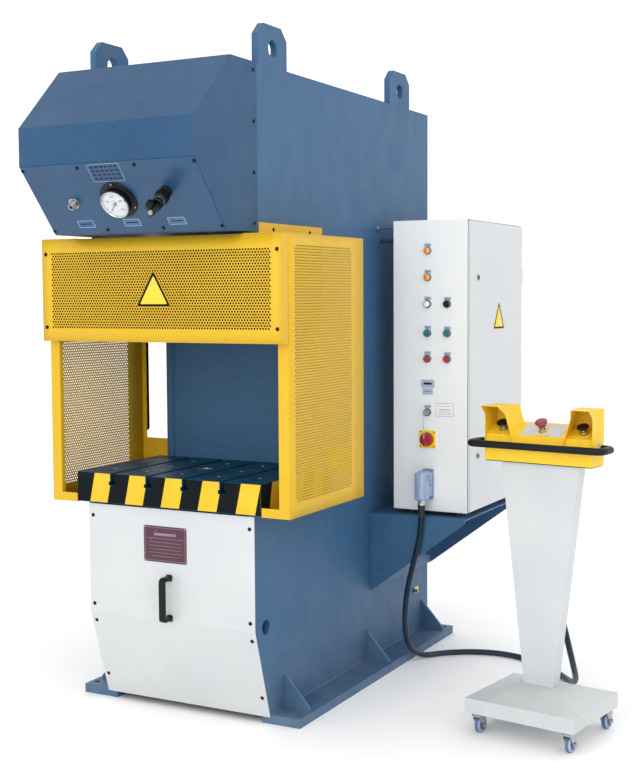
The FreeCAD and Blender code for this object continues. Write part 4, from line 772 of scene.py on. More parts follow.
handle_low, handle_high, handle_out = 0.351, 0.491, front_y - 0.045
handle_path = bend([(0, front_y + 0.0005, handle_low), (0, handle_out, handle_low),
                    (0, handle_out, handle_high), (0, front_y + 0.0005, handle_high)], 0.009, 6)
grip_section = rounded(0.023, 0.015, 0.004, 5)
handle_parts = [swept(handle_path, (1, 0, 0), grip_section)]
for z in (handle_low, handle_high):
    foot = rounded(0.023, 0.023, 0.004, 5)
    handle_parts.append(slab(foot, 0, 0.004, facing("front", 0, front_y - 0.0001, z)))
piece("panel_handle", handle_parts, handle_black, "black_plastic", replaces="bridge_handle", bevel=0.0006)

notice_red = finish("notice_red", (70, 24, 44), (62, 18, 38), 0.35, mottle=12, grain=900, relief=0.01,
                    coat=0.3, flecks=0.3)
notice_rim = finish("notice_rim", (150, 118, 142), (134, 100, 126), 0.35, mottle=30)
notice_place = facing("front", -0.016, front_y - 0.0002, 0.6055)
notice = [(*slab(rounded(0.176, 0.125, 0.004), 0, 0.001, notice_place), notice_red)]
notice.append((*border(rounded(0.166, 0.115, 0.003), rounded(0.163, 0.112, 0.002), 0.0009, 0.0013,
                       notice_place), notice_rim))
for drop, width in ((0.034, 0.09), (0.02, 0.146), (0.006, 0.132), (-0.006, 0.14), (-0.018, 0.126),
                    (-0.03, 0.138), (-0.042, 0.11)):
    rule = rounded(width, 0.009 if drop > 0.03 else 0.0014, 0.0006, 3) + (0, drop)
    notice.append((*slab(rule, 0.0008, 0.00125, notice_place), notice_rim))
four_corners = [(u, v) for u in (-1, 1) for v in (-1, 1)]
for u, v in four_corners:
    spot = notice_place @ at(u * 0.0835, v * 0.058, 0.0008)
    notice.append((*turned([(0, 0), (0.0026, 0), (0.0024, 0.001), (0.0012, 0.0018), (0, 0.0019)], spot, 14),
                   zinc))
piece("notice_plate", notice, notice_red, "red_plastic")

# ---------------------------------------------------------------- cover screws
# Button-head M8 screws in black oxide hold the sheet covers, each with a hexagon socket and a thin
# washer.

fold_in, fold_drop, fold_top = 0.095, 0.316, 0.34
slope_length, fold_length = math.hypot(0.177, 0.214), math.hypot(fold_in, fold_drop)
fold_turn = spun(quarter + math.atan2(fold_in, fold_drop), "X")
column_step, screw_inset = 0.110743, 0.018
screw_spots = [on_slope(column * column_step, drop) for column in (-3, -1, 1, 3)
               for drop in (0.017, slope_length - 0.017)]
for side in (-1, 1):
    sideways, inner = spun(side * quarter, "Y"), side * (half_width - screw_inset)
    screw_spots += [at(side * half_width, -0.77, head_foot + share * 0.548) @ sideways
                    for share in (0.05, 0.35, 0.65, 0.95)]
    screw_spots += [at(side * (half_width + 0.002), front_edge + y, 1.676) @ sideways for y in (0.14, 0.396)]
    screw_spots += [facing("front", inner, front_edge, z) for z in (0.369, 0.686)]
    screw_spots += [facing("front", side * 0.466, -0.845, z) for z in (1.35, 1.604)]
    screw_spots += [at(inner, front_edge + fold_in * share, fold_top - fold_drop * share) @ fold_turn
                    for share in (0.035 / fold_length, 1 - 0.075 / fold_length)]
button_head = [(0, 0.0002), (0.0068, 0.0002), (0.0068, 0.0009), (0.0055, 0.0009), (0.0055, 0.0014),
               (0.0048, 0.0026), (0.003, 0.0033), (0.0025, 0.0033), (0.0025, 0.0016), (0, 0.0016)]
piece("cover_screws", [turned(button_head, spot, 20) for spot in screw_spots], black_oxide, "zinc_screws",
      replaces="panel_screws")

# ---------------------------------------------------------------- guard
# Folded 2 mm perforated sheet, powder coated yellow: two side screens with folded posts and sills, and
# a shallow pan across the front, with a dark sheet behind it as painted shade for its holes, and a black
# strip at the left rear edge.
# Round holes stand in rows, each row half a pitch along.

guard_paint = finish("guard_paint", (215, 174, 36), (208, 166, 30), 0.42, mottle=3, grain=700, relief=0.03,
                     flecks=0.2, speckle=0.2, shine=0.3)


def perforated(span_u, span_v, field_u, field_v, pitch, hole, corner, place, sides):
    """Sheet with staggered round holes. Its points are a grid of half pitches by rows of
    pitch x root 3 / 2; each hole takes two squares of one row, and the ring between their outline
    and its circle is filled with triangles. Holes outside the rounded field are left plain."""
    rise = pitch * math.sqrt(3) / 2
    rows = int((field_v[1] - field_v[0]) / rise)
    columns = 2 * int((field_u[1] - field_u[0]) / pitch) + 1
    mid_u, mid_v = sum(field_u) / 2, sum(field_v) / 2
    u = np.r_[span_u[0], mid_u + (np.arange(columns + 1) - columns / 2) * pitch / 2, span_u[1]]
    v = np.r_[span_v[0], mid_v + (np.arange(rows + 1) - rows / 2) * rise, span_v[1]]
    grid_u, grid_v = np.meshgrid(u, v)
    across = len(u)
    row, number = np.meshgrid(np.arange(rows), np.arange(columns // 2), indexing="ij")
    start = (2 * number + row % 2).ravel()
    row = row.ravel()
    centre_u, centre_v = u[start + 2], (v[row + 1] + v[row + 2]) / 2
    out_u = np.abs(centre_u - mid_u) - (u[-2] - u[1]) / 2 + corner
    out_v = np.abs(centre_v - mid_v) - (v[-2] - v[1]) / 2 + corner
    keep = ~((out_u > 0) & (out_v > 0) & (np.hypot(out_u, out_v) > corner - hole / 2))
    start, row, centre_u, centre_v = start[keep], row[keep], centre_u[keep], centre_v[keep]
    corner_id = (row + 1) * across + start + 1
    outline_ids = np.stack([corner_id + 2, corner_id + across + 2, corner_id + across + 1,
                            corner_id + across, corner_id, corner_id + 1], 1)
    angle = np.arange(sides) * 2 * math.pi / sides
    ring_u = centre_u[:, None] + hole / 2 * np.cos(angle)
    ring_v = centre_v[:, None] + hole / 2 * np.sin(angle)
    ring_ids = grid_u.size + np.arange(ring_u.size).reshape(ring_u.shape)
    owned = np.hstack([outline_ids, ring_ids])
    outer_angle = np.unwrap(np.arctan2([-rise, rise, rise, rise, -rise, -rise],
                                       [pitch, pitch, 0, -pitch, -pitch, 0]))
    first = int(np.ceil(outer_angle[0] / (2 * math.pi / sides)))
    fan, i, j = [], 0, first
    while i < 6 or j < first + sides:
        next_outer = outer_angle[(i + 1) % 6] + (2 * math.pi if i + 1 >= 6 else 0)
        next_ring = (j + 1) * 2 * math.pi / sides
        if j >= first + sides or (i < 6 and next_outer <= next_ring):
            fan.append((i % 6, (i + 1) % 6, 6 + j % sides))
            i += 1
        else:
            fan.append((i % 6, 6 + (j + 1) % sides, 6 + j % sides))
            j += 1
    triangles = owned[:, np.array(fan)].reshape(-1, 3)
    square = grid_faces(len(v), across)
    used = np.zeros((len(v) - 1, across - 1), bool)
    used[row + 1, start + 1] = True
    used[row + 1, start + 2] = True
    plain = square[~used.ravel()]
    flat = np.vstack([np.c_[grid_u.ravel(), grid_v.ravel()], np.c_[ring_u.ravel(), ring_v.ravel()]])
    points = np.c_[flat, np.zeros(len(flat))]
    return carried(points, place), triangles.tolist() + plain.tolist()


def block(low, high):
    """Rectangular bar between two corners."""
    (x0, y0, z0), (x1, y1, z1) = low, high
    return slab([(x0, y0), (x1, y0), (x1, y1), (x0, y1)], z0, z1)


guard_low, guard_high = 0.732, 1.655
guard_half, guard_face, guard_rear, sheet_wall = 0.484, -0.806, -0.257, 0.0015
pan_low, pan_face = 1.302, -0.845
piece("guard_front_mesh",
      [perforated((-guard_half + 0.001, guard_half - 0.001), (pan_low + 0.001, guard_high - 0.001),
                  (-0.441, 0.441), (1.346, 1.61), 0.0105, 0.0073, 0.006,
                  facing("front", 0, pan_face, 0), 12)],
      guard_paint, "guard_yellow", replaces="guard_front_panel", solid=sheet_wall, outward=False)
inner_front = pan_face + 0.0012
pan_parts = [block((-guard_half, inner_front, pan_low), (guard_half, guard_face - 0.0005, pan_low + 0.002)),
             block((-guard_half, inner_front, guard_high - 0.002),
                   (guard_half, guard_face - 0.0005, guard_high))]
for side in (-1, 1):
    ends = sorted((side * guard_half, side * (guard_half - 0.002)))
    pan_parts.append(block((ends[0], inner_front, pan_low + 0.002),
                           (ends[1], guard_face - 0.0005, guard_high - 0.002)))
    lip = sorted((side * (guard_half - 0.003), side * (guard_half - 0.018)))
    pan_parts.append(block((lip[0], guard_face - 0.0025, pan_low + 0.002),
                           (lip[1], guard_face - 0.0005, guard_high - 0.002)))
piece("guard_front_folds", pan_parts, guard_paint, "guard_yellow", bevel=0.0006)

for side, name in ((-1, "left"), (1, "right")):
    span = sorted((side * guard_face, side * guard_rear))
    field = sorted((side * -0.764, side * -0.351))
    piece(f"guard_{name}_mesh",
          [perforated(span, (guard_low, guard_high), field, (0.777, 1.625), 0.0108, 0.0066, 0.022,
                      facing(name, side * guard_half, 0, 0), 10)],
          guard_paint, "guard_yellow", replaces=f"guard_{name}", solid=sheet_wall, outward=False)

    def bar(near, far, y, z):
        """Flat bar of the side screen, between two distances from the middle of the press."""
        low, high = sorted((side * near, side * far))
        return block((low, y[0], z[0]), (high, y[1], z[1]))

    wall = guard_half - 0.0012
    post = guard_half - 0.039
    piece(f"guard_{name}_folds", [
        bar(post, wall, (guard_face, guard_face + 0.002), (guard_low, guard_high)),
        bar(post, post + 0.002, (guard_face, guard_face + 0.02), (guard_low, guard_high)),
        bar(wall - 0.019, wall, (guard_rear - 0.002, guard_rear), (guard_low, guard_high)),
        bar(0.378, wall, (guard_face, -0.3), (guard_low, guard_low + 0.002)),
        bar(0.378, wall, (guard_face + 0.0001, guard_face + 0.0021), (guard_low, guard_low + 0.031)),
        bar(0.34, wall, (guard_rear - 0.0021, guard_rear - 0.0001), (0.812, 0.902)),
    ], guard_paint, "guard_yellow", bevel=0.0006)
eased("guard_top", guard_paint, "guard_yellow", 0.0006)

# Dark olive sheet behind the front pan: painted shade, so that the holes show dark as the shaded space behind
# them would.
painted_shade_sheet = finish("painted_shade_sheet", (54, 48, 30), (46, 41, 26), 0.8, mottle=8, grain=500, relief=0.05,
                    shine=0.2)
piece("guard_front_shade_sheet", [slab(rounded(0.96, 0.345, 0.004), 0, 0.0012,
                                 facing("front", 0, guard_face - 0.004, 1.4785))],
      painted_shade_sheet, "guard_yellow", bevel=0.0003)
edge_black = finish("edge_black", (8, 12, 16), (5, 8, 12), 0.5, mottle=12, grain=500, relief=0.03, shine=0.15)
piece("guard_edge_strip", [slab(rounded(0.03, 0.572, 0.012, 6), 0, 0.006,
                                facing("back", -0.4715, -0.2568, 1.215))],
      edge_black, "black_plastic", bevel=0.0008)

sign_yellow = finish("sign_yellow", (236, 204, 50), (232, 198, 44), 0.4, mottle=20, relief=0.01)
sign_black = finish("sign_black", (8, 9, 11), (5, 6, 8), 0.5, mottle=20, relief=0.01, shine=0.15)


def triangle(side_length, radius):
    """Equilateral triangle with rounded corners: three arcs moved out to its corners."""
    reach_ = (side_length / math.sqrt(3)) - 2 * radius
    corners = []
    for i in range(3):
        middle = math.pi / 2 + i * 2 * math.pi / 3
        angle = middle + np.linspace(-math.pi / 3, math.pi / 3, 6)
        corners.append(np.array([math.cos(middle), math.sin(middle)]) * reach_
                       + radius * np.c_[np.cos(angle), np.sin(angle)])
    return np.vstack(corners)


def blank_sign(side_length, place):
    """Blank three-cornered sign: a yellow plate and a narrow black border a little inside its edge."""
    plate = triangle(side_length, 0.006)
    outer, inner = triangle(side_length * 0.98, 0.005), triangle(side_length * 0.78, 0.003)
    return [(*slab(plate, 0, 0.0011, place), sign_yellow),
            (*border(outer, inner, 0.0009, 0.0013, place), sign_black)]


piece("guard_sign", blank_sign(0.141, facing("front", -0.01, pan_face - 0.0002, 1.462)), sign_yellow,
      "guard_yellow")

# ---------------------------------------------------------------- electrical cabinet
# Folded steel enclosure powder coated light grey, on four feet on a welded bracket. A foam gasket
# seals the pan door; inside stand a zinc plate, trunking and rows of modules on rails.

cabinet_paint = finish("cabinet_paint", (232, 235, 236), (227, 231, 233), 0.44, mottle=2.5, grain=620,
                       relief=0.05, coat=0.12)
# The door has the body's light grey powder coat, made darker here as painted shade for the right-hand side,
# which faces away from the key light.
door_paint_shaded = finish("door_paint_shaded", (200, 203, 205), (194, 198, 201), 0.44, mottle=2.5, grain=620, relief=0.05,
                    coat=0.12)
eased("cabinet_body", cabinet_paint, "cabinet_grey", 0.0012)
eased("cabinet_door", door_paint_shaded, "cabinet_grey", 0.0012, body="door")
eased("cabinet_bracket", frame_paint, "frame_blue", 0.0012)
eased("door_lock_upper", zinc, "zinc_screws", 0.0006, body="lock_upper")
eased("door_lock_lower", zinc, "zinc_screws", 0.0006, body="lock_lower")

cab_face, cab_rear, cab_low, cab_high = 0.145, 0.745, 0.624, 1.74
gasket_grey = finish("gasket_grey", (62, 64, 66), (52, 54, 56), 0.75, mottle=60, grain=420, relief=0.08)
gasket_path = [(0.7285, y, z) for y, z in rounded(0.574, 1.09, 0.012, 6)
               + ((cab_face + cab_rear) / 2, (cab_low + cab_high) / 2)]
piece("door_gasket", [swept(gasket_path, (1, 0, 0), rounded(0.008, 0.01, 0.002, 3), closed=True)],
      gasket_grey, "black_plastic", body="door")
across_x = spun(quarter, "Y")
locks = (("upper", 1.521), ("lower", 0.837))
lock_y = 0.228
ring = [(0.0062, 0), (0.015, 0), (0.015, 0.0006), (0.0138, 0.0012), (0.0114, 0.0012), (0.0114, 0.0002),
        (0.0062, 0.0002), (0.0062, 0)]
for name, z in locks:
    piece(f"lock_escutcheon_{name}", [turned(ring, at(0.735, lock_y, z) @ across_x, 36)], chrome,
          "zinc_screws", body="door")


def pin(radius, low, high, place, sides):
    """Plain round bar or disc between two heights: (radius cos a, radius sin a, h)."""
    return turned([(0, low), (radius, low), (radius, high), (0, high)], place, sides)


cup = [(0.0052, 0), (0.0088, 0), (0.0088, 0.0004), (0.008, 0.0008), (0.0052, 0.0008), (0.0052, 0)]
for name, z in locks:
    spot = at(0.7391, lock_y, z) @ across_x
    piece(f"lock_insert_{name}", [turned(cup, spot, 32), pin(0.005, 0, 0.0003, spot, 24)], black_oxide,
          "zinc_screws", body=f"lock_{name}")

module_grey = finish("module_grey", (196, 200, 202), (186, 190, 193), 0.5, mottle=30, grain=900)
duct_grey = finish("duct_grey", (158, 164, 170), (150, 156, 163), 0.5, mottle=30, grain=900)
inside = []
plate_x = 0.453
for z in (0.7, 0.905, 1.12, 1.335, 1.55):
    inside.append((*block((plate_x, 0.2, z), (plate_x + 0.05, 0.69, z + 0.04)), duct_grey))
for row_z, widths in ((0.8, (0.09, 0.09, 0.06, 0.045, 0.045, 0.045)),
                      (1.01, (0.045, 0.045, 0.045, 0.045, 0.07, 0.07, 0.07)),
                      (1.225, (0.018,) * 12 + (0.036,) * 4), (1.44, (0.12, 0.055, 0.055, 0.08))):
    inside.append((*block((plate_x, 0.21, row_z - 0.017), (plate_x + 0.0075, 0.68, row_z + 0.017)), zinc))
    start_y = 0.225
    for width in widths:
        inside.append((*block((plate_x + 0.0075, start_y, row_z - 0.042),
                              (plate_x + 0.055 + 0.2 * width, start_y + width - 0.0015, row_z + 0.042)),
                       module_grey))
        inside.append((*block((plate_x + 0.05 + 0.2 * width, start_y + width * 0.25, row_z - 0.015),
                              (plate_x + 0.061 + 0.2 * width, start_y + width * 0.75, row_z + 0.015)),
                       black_oxide))
        start_y += width
piece("cabinet_modules", inside, module_grey, "grey_plastic", bevel=0.0008)

fixings = []
for x in (0.48, 0.675):
    for y in (0.185, 0.685):
        foot = [(0, 0.607), (0.02, 0.607), (0.02, 0.612), (0.0185, 0.6135), (0.0185, 0.622),
                (0.0165, 0.624), (0, 0.624)]
        fixings.append((*turned(foot, at(x, y, 0), 28), boot_finish))
hexagon = np.array([(math.cos(a), math.sin(a)) for a in np.arange(6) * math.pi / 3])
for y, z in ((0.135, 0.338), (0.658, 0.338), (0.135, 0.55), (0.658, 0.55)):
    spot = at(0.346, y, z) @ across_x
    fixings.append((*pin(0.013, 0, 0.0018, spot, 28), zinc))
    fixings.append((*slab(hexagon * 0.0098, 0.0016, 0.0085, spot), zinc))
for y in (0.163, 0.705):
    spot = at(0.34, y, 1.716) @ across_x
    fixings.append((*pin(0.006, 0, 0.08, spot, 20), zinc))
    fixings.append((*slab(hexagon * 0.0115, 0.0003, 0.008, spot), zinc))
    fixings.append((*slab(hexagon * 0.0115, 0.0715, 0.0795, spot), zinc))
spot = at(0.34, 0.177, 1.666) @ across_x
hose_steps = np.linspace(0.006, 0.078, 55)
hose = np.c_[0.008 - 0.0006 * (np.arange(55) % 2), hose_steps]
fixings.append((*turned([(0, 0.006), *hose, (0, 0.078)], spot, 24), boot_finish))
fixings.append((*turned([(0, 0), (0.027, 0), (0.027, 0.003), (0.0255, 0.0042), (0.015, 0.0044),
                         (0.014, 0.01), (0, 0.01)], spot, 32), frame_paint))
earth_spot = at(0.34, 0.523, 0.207) @ across_x
thread = np.c_[0.0042 - 0.0005 * (np.arange(25) % 2), np.linspace(0.006, 0.022, 25)]
fixings.append((*turned([(0, 0.006), *thread, (0, 0.022)], earth_spot, 20), zinc))
fixings.append((*slab(hexagon * 0.0085, 0.0002, 0.007, earth_spot), zinc))
fixings.append((*slab(hexagon * 0.0085, 0.0105, 0.016, earth_spot), zinc))
piece("cabinet_mountings", fixings, zinc, "zinc_screws", replaces="cabinet_fixings")
tag = rounded(0.026, 0.038, 0.003)
piece("earth_tag", [(*slab(tag + (0.0, 0.026), 0.0002, 0.0009, earth_spot), sign_yellow)],
      sign_yellow, "guard_yellow")
piece("door_sign", blank_sign(0.124, facing("right", 0.7352, 0.461, 1.3565)), sign_yellow, "guard_yellow",
      body="door")

# ---------------------------------------------------------------- operator controls
# 22 mm control units in nickel-plated bezels on the front of the cabinet: two amber lamps, a white
# selector, a black, two green and two red buttons, a key switch, and the red main switch.

def on_cabinet(x, z, lift=0.0):
    """Frame on the cabinet's front face: x across, z up, lift out towards the operator."""
    return facing("front", x, cab_face - lift, z)


amber = finish("lamp_amber", (240, 160, 40), (226, 138, 26), 0.14, mottle=40, grain=300, relief=0.02,
               coat=0.8)
button_black = finish("button_black", (14, 24, 34), (9, 18, 27), 0.3, mottle=40, relief=0.01, shine=0.3)
button_green = finish("button_green", (24, 106, 112), (18, 94, 100), 0.28, mottle=40, relief=0.01, coat=0.5)
button_red = finish("button_red", (158, 26, 56), (144, 20, 48), 0.28, mottle=40, relief=0.01, coat=0.5)
plastic_white = finish("plastic_white", (236, 238, 240), (226, 229, 232), 0.3, mottle=40, relief=0.01,
                       coat=0.4)
left_x, right_x = 0.563, 0.644
bezel_nickel = finish("bezel_nickel", (112, 118, 128), (92, 98, 110), 0.24, metallic=0.85, mottle=60,
                      grain=1500, relief=0.01)
bezel = [(0.0112, 0.0), (0.015, 0.0), (0.015, 0.0062), (0.0143, 0.0086), (0.0128, 0.0098),
         (0.0118, 0.01), (0.0112, 0.0094), (0.0112, 0.0)]
controls = []
selector_z, green_z, red_z, key_z, isolator_z, lamps_z = 1.421, 1.31, 1.212, 1.006, 0.902, (1.624, 1.523)
for x, z in ((left_x, selector_z), (right_x, selector_z), (left_x, green_z), (right_x, green_z),
             (left_x, red_z), (right_x, red_z), (left_x, key_z), *((left_x, z) for z in lamps_z)):
    controls.append(turned(bezel, on_cabinet(x, z), 40))
for z in lamps_z:
    dome_angle = np.linspace(0, math.pi / 2, 9)
    dome = np.c_[0.0127 * np.cos(dome_angle), 0.0125 + 0.0055 * np.sin(dome_angle)]
    controls.append((*turned([(0, 0.002), (0.0109, 0.002), (0.0109, 0.0121), *dome[:-1], (0, 0.018)],
                             on_cabinet(left_x, z), 40), amber))
isolator_yellow = finish("isolator_yellow", (246, 212, 30), (240, 204, 24), 0.35, mottle=30, relief=0.01,
                         coat=0.3)
isolator_place = on_cabinet(left_x, isolator_z)
square = rounded(0.068, 0.068, 0.004)
bore = np.roll(circle(0.0084, len(square)), -2, 0)
controls.append((*stacked([(square, 0), (square, 0.0032), (square * 0.985, 0.004), (bore, 0.004)],
                          isolator_place, False), isolator_yellow))
for u, v in four_corners:
    screw = on_cabinet(left_x + 0.028 * u, isolator_z + 0.028 * v, 0.0038)
    controls.append((*socket_screw(screw, 0.0026, 0.0014, 12), black_oxide))
piece("control_bezels", controls, bezel_nickel, "zinc_screws", replaces="operator_bezels")

cap = [(0, 0.006), (0.01095, 0.006), (0.01095, 0.0145), (0.0129, 0.0146), (0.0132, 0.0152),
       (0.0128, 0.0158), (0.0116, 0.016), (0.0112, 0.0155), (0.005, 0.0151), (0, 0.015)]
for node, x, z, plastic, slot_name in (
    ("button_black", right_x, selector_z, button_black, "black_plastic"),
    ("button_green_left", left_x, green_z, button_green, "green_plastic"),
    ("button_green_right", right_x, green_z, button_green, "green_plastic"),
    ("button_red_left", left_x, red_z, button_red, "red_plastic"),
    ("button_red_right", right_x, red_z, button_red, "red_plastic"),
):
    piece(node + "_cap", [turned(cap, on_cabinet(x, z), 40)], plastic, slot_name, body=node, replaces=node)

grip = [(-0.0034, -0.0103), (0.0034, -0.0103), (0.003, 0.0), (0.0022, 0.0103), (-0.0022, 0.0103),
        (-0.003, 0.0)]
selector_disc = [(0, 0.006), (0.01095, 0.006), (0.01095, 0.013), (0.0102, 0.014), (0, 0.014)]
pointer_mark = rounded(0.0012, 0.006, 0.0005, 3) + (0, 0.006)
selector_place = on_cabinet(left_x, selector_z)
piece("selector_lever", [turned(selector_disc, selector_place, 40), slab(grip, 0.0135, 0.026, selector_place),
                         (*slab(pointer_mark, 0.0259, 0.0262, selector_place), button_black)],
      plastic_white, "white_plastic", body="selector", replaces="selector_knob", bevel=0.0005)

barrel = [(0, 0.006), (0.01095, 0.006), (0.01095, 0.0122), (0.0102, 0.0132), (0, 0.0132)]
key_place = on_cabinet(left_x, key_z)
key_side = key_place @ across_x
bow, eye_hole = circle(0.01, 32) + (-0.034, 0), circle(0.003, 32) + (-0.038, 0)
blade = [(-0.0255, -0.004), (-0.012, -0.004), (-0.012, 0.004), (-0.0255, 0.004)]
piece("key_and_barrel", [turned(barrel, key_place, 40),
                         border(bow, eye_hole, -0.001, 0.001, key_side, under=True),
                         slab(blade, -0.0009, 0.0009, key_side)],
      zinc, "zinc_screws", body="key", replaces="key_switch")

link_count = 17
chain_parts = []
angle = np.linspace(0, 2 * math.pi, 15)[:-1]
for i in range(link_count):
    share = i / (link_count - 1)
    place = (left_x - 0.0035 - 0.012 * math.sin(share * math.pi * 0.5), cab_face - 0.03 + 0.024 * share,
             0.995 - 0.052 * share)
    stretch = np.c_[0.0012 * np.cos(angle), 0 * angle, 0.0024 * np.sin(angle)]
    if i % 2:
        stretch = stretch[:, [1, 0, 2]]
    normal = (1, 0, 0) if i % 2 else (0, 1, 0)
    chain_parts.append(swept(stretch + place, normal, circle(0.00035, 6), closed=True))
piece("key_chain", chain_parts, zinc, "zinc_screws")

knob = [(0, 0.0042), (0.0262, 0.0042), (0.027, 0.0055), (0.0262, 0.0175), (0.0248, 0.0195), (0.018, 0.02),
        (0, 0.02)]
handle = rounded(0.0135, 0.05, 0.0045, 5)
tapered = [(handle, 0.019), (handle * (0.92, 0.97), 0.0355), (handle * (0.74, 0.92), 0.038)]
piece("isolator_handle", [turned(knob, isolator_place, 48), stacked(tapered, isolator_place),
                          (*slab(rounded(0.0016, 0.016, 0.0007, 3) + (0, 0.014), 0.0379, 0.0382,
                                 isolator_place), plastic_white)],
      button_red, "red_plastic", body="isolator", replaces="isolator_knob")

plate_silver = finish("plate_silver", (140, 156, 190), (128, 146, 182), 0.36, metallic=0.1, mottle=40,
                      relief=0.01)
plate_lilac = finish("plate_lilac", (170, 182, 206), (160, 173, 199), 0.36, mottle=40, relief=0.01)
rule_ink = finish("rule_ink", (70, 78, 108), (60, 68, 98), 0.5, mottle=60, relief=0.01)
plates = []


def control_label(x, z, width, height, face):
    """Blank plate with a fine dark line round its face and one engraved rule."""
    place = on_cabinet(x, z, 0.0)
    plates.append((*slab(rounded(width, height, 0.0015), 0, 0.0009, place), plate_silver))
    plates.append((*slab(rounded(width - 0.003, height - 0.003, 0.001), 0.0008, 0.0011, place), face))
    rule = rounded(width * 0.6, 0.0022, 0.0009, 3)
    plates.append((*slab(rule, 0.0009, 0.0014, place), rule_ink))


for x, z in ((left_x, 1.645), (left_x, 1.545), (left_x, 1.443), (right_x, 1.441), (left_x, 1.332),
             (right_x, 1.33), (left_x, 1.234), (right_x, 1.232), (left_x, 1.028)):
    control_label(x, z, 0.027, 0.012, plate_lilac)
control_label(left_x, 1.116, 0.055, 0.03, plate_lilac)
control_label(left_x, 1.086, 0.042, 0.023, plate_lilac)
control_label(0.633, 1.0175, 0.072, 0.051, plastic_white)
for drop, width in ((0.014, 0.052), (-0.008, 0.048), (-0.016, 0.054)):
    rule = rounded(width, 0.0012, 0.0005, 3) + (0, drop)
    plates.append((*slab(rule, 0.0009, 0.0014, on_cabinet(0.633, 1.0175)), rule_ink))
piece("control_labels", plates, plate_silver, "white_plastic")
piece("hour_counter_window", [slab(rounded(0.034, 0.008, 0.001), 0.001, 0.0014, on_cabinet(left_x, 1.1165))],
      button_black, "black_plastic")

# ---------------------------------------------------------------- plug and socket
# Rectangular die-cast connector: a bulkhead housing with a flange and four screws, a ribbed hood held
# by one wire lever, and a nickel-plated gland whose nut squeezes the cord.

cast_grey = finish("cast_grey", (158, 178, 206), (142, 163, 194), 0.34, metallic=0.35, mottle=30, grain=520,
                   relief=0.05)
plug_x = 0.567
housing_place = on_cabinet(plug_x, 0.7295)


def cast(radius, *levels):
    """Casting of rounded rectangles of one corner radius, each (width, height, level)."""
    return stacked([(rounded(width, height, radius), level) for width, height, level in levels],
                   housing_place)


housing_parts = [cast(0.004, (0.046, 0.117, 0), (0.046, 0.117, 0.0035), (0.044, 0.115, 0.0045)),
                 cast(0.006, (0.0385, 0.094, 0.004), (0.0385, 0.094, 0.037), (0.0365, 0.092, 0.0395))]
for u, v in four_corners:
    spot = housing_place @ at(u * 0.0175, v * 0.053, 0.0045)
    housing_parts.append((*socket_screw(spot, 0.0026, 0.0024, 14), zinc))
for u in (-1, 1):
    spot = housing_place @ at(u * 0.0195, 0, 0.03) @ spun(u * quarter, "Y")
    housing_parts.append((*turned([(0, 0), (0.0038, 0), (0.0038, 0.002), (0.003, 0.0028), (0, 0.0028)],
                                  spot, 20), zinc))
piece("socket_housing", housing_parts, cast_grey, "grey_plastic", replaces="connector_housing")

hood_parts = [cast(0.006, (0.04, 0.109, 0.0403), (0.042, 0.111, 0.0415), (0.042, 0.111, 0.056),
                   (0.0385, 0.1075, 0.058), (0.0375, 0.106, 0.093), (0.033, 0.1, 0.0985),
                   (0.026, 0.09, 0.1))]
for z in (-0.03, -0.01, 0.01, 0.03):
    for u in (-1, 1):
        rib = rounded(0.03, 0.004, 0.0015, 3) + (0.075, z)
        rib_place = housing_place @ spun(-quarter, "Y")
        hood_parts.append(slab(rib, *sorted((u * 0.018, u * 0.02)), rib_place))
gland_place = at(plug_x, 0.075, 0.675) @ down
gland_nut = np.vstack([hexagon[i] * (1 - t) + hexagon[(i + 1) % 6] * t for i in range(6) for t in (0, 0.5)])
hood_parts.append((*pin(0.0135, -0.002, 0.0045, gland_place, 32), gland_metal))
hood_parts.append((*slab(gland_nut * 0.015, 0.003, 0.011, gland_place), gland_metal))
hood_parts.append((*turned([(0, 0.01), (0.0135, 0.01), (0.0147, 0.012), (0.0147, 0.019),
                            (0.013, 0.0218), (0, 0.0218)], gland_place, 32), gland_metal))
hood_piece = piece("plug_hood", hood_parts, cast_grey, "grey_plastic", replaces="connector_hood",
                   bevel=0.0005)
lever_path = bend([(-0.0228, -0.004, 0.03), (-0.0228, 0.042, 0.062), (0.0228, 0.042, 0.062),
                   (0.0228, -0.004, 0.03)], 0.006, 8)
lever_plane = np.cross((1, 0, 0), (0, 0.046, 0.032))
lever_points, lever_faces = swept(lever_path, lever_plane / np.linalg.norm(lever_plane), circle(0.0016, 10))
piece("plug_lever", [(carried(lever_points, housing_place), lever_faces)], zinc, "zinc_screws")
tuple(route[0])

# ---------------------------------------------------------------- two-hand console
# A stand-alone console on a heavy base with four castors: a tapered grey column, a yellow folded head
# with a hood over each palm button, and a rubber-covered rail that keeps both hands at the buttons.

console_place = at(1.182, -0.344, 0) @ spun(math.radians(-8.65), "Z")
console_grey = finish("console_grey", (198, 202, 204), (191, 196, 199), 0.42, mottle=4, grain=620,
                      relief=0.045, coat=0.12, dust=0.2)
eased("console_base", console_grey, "cabinet_grey", 0.0022)
eased("console_column", console_grey, "cabinet_grey", 0.0012)
console_yellow = finish("console_yellow", (238, 196, 42), (231, 188, 36), 0.4, mottle=6, grain=700,
                        relief=0.03, flecks=0.2, speckle=0.25, shine=0.35)
eased("console_head", console_yellow, "guard_yellow", 0.001)

head_gasket = [(x, y, 0.9045) for x, y in rounded(0.378, 0.08, 0.004) + (0, -0.0015)]
piece("head_gasket", [swept([carried(np.array([p]), console_place)[0] for p in head_gasket], (0, 0, 1),
                            rounded(0.003, 0.006, 0.001, 3), closed=True)], gasket_grey, "black_plastic")

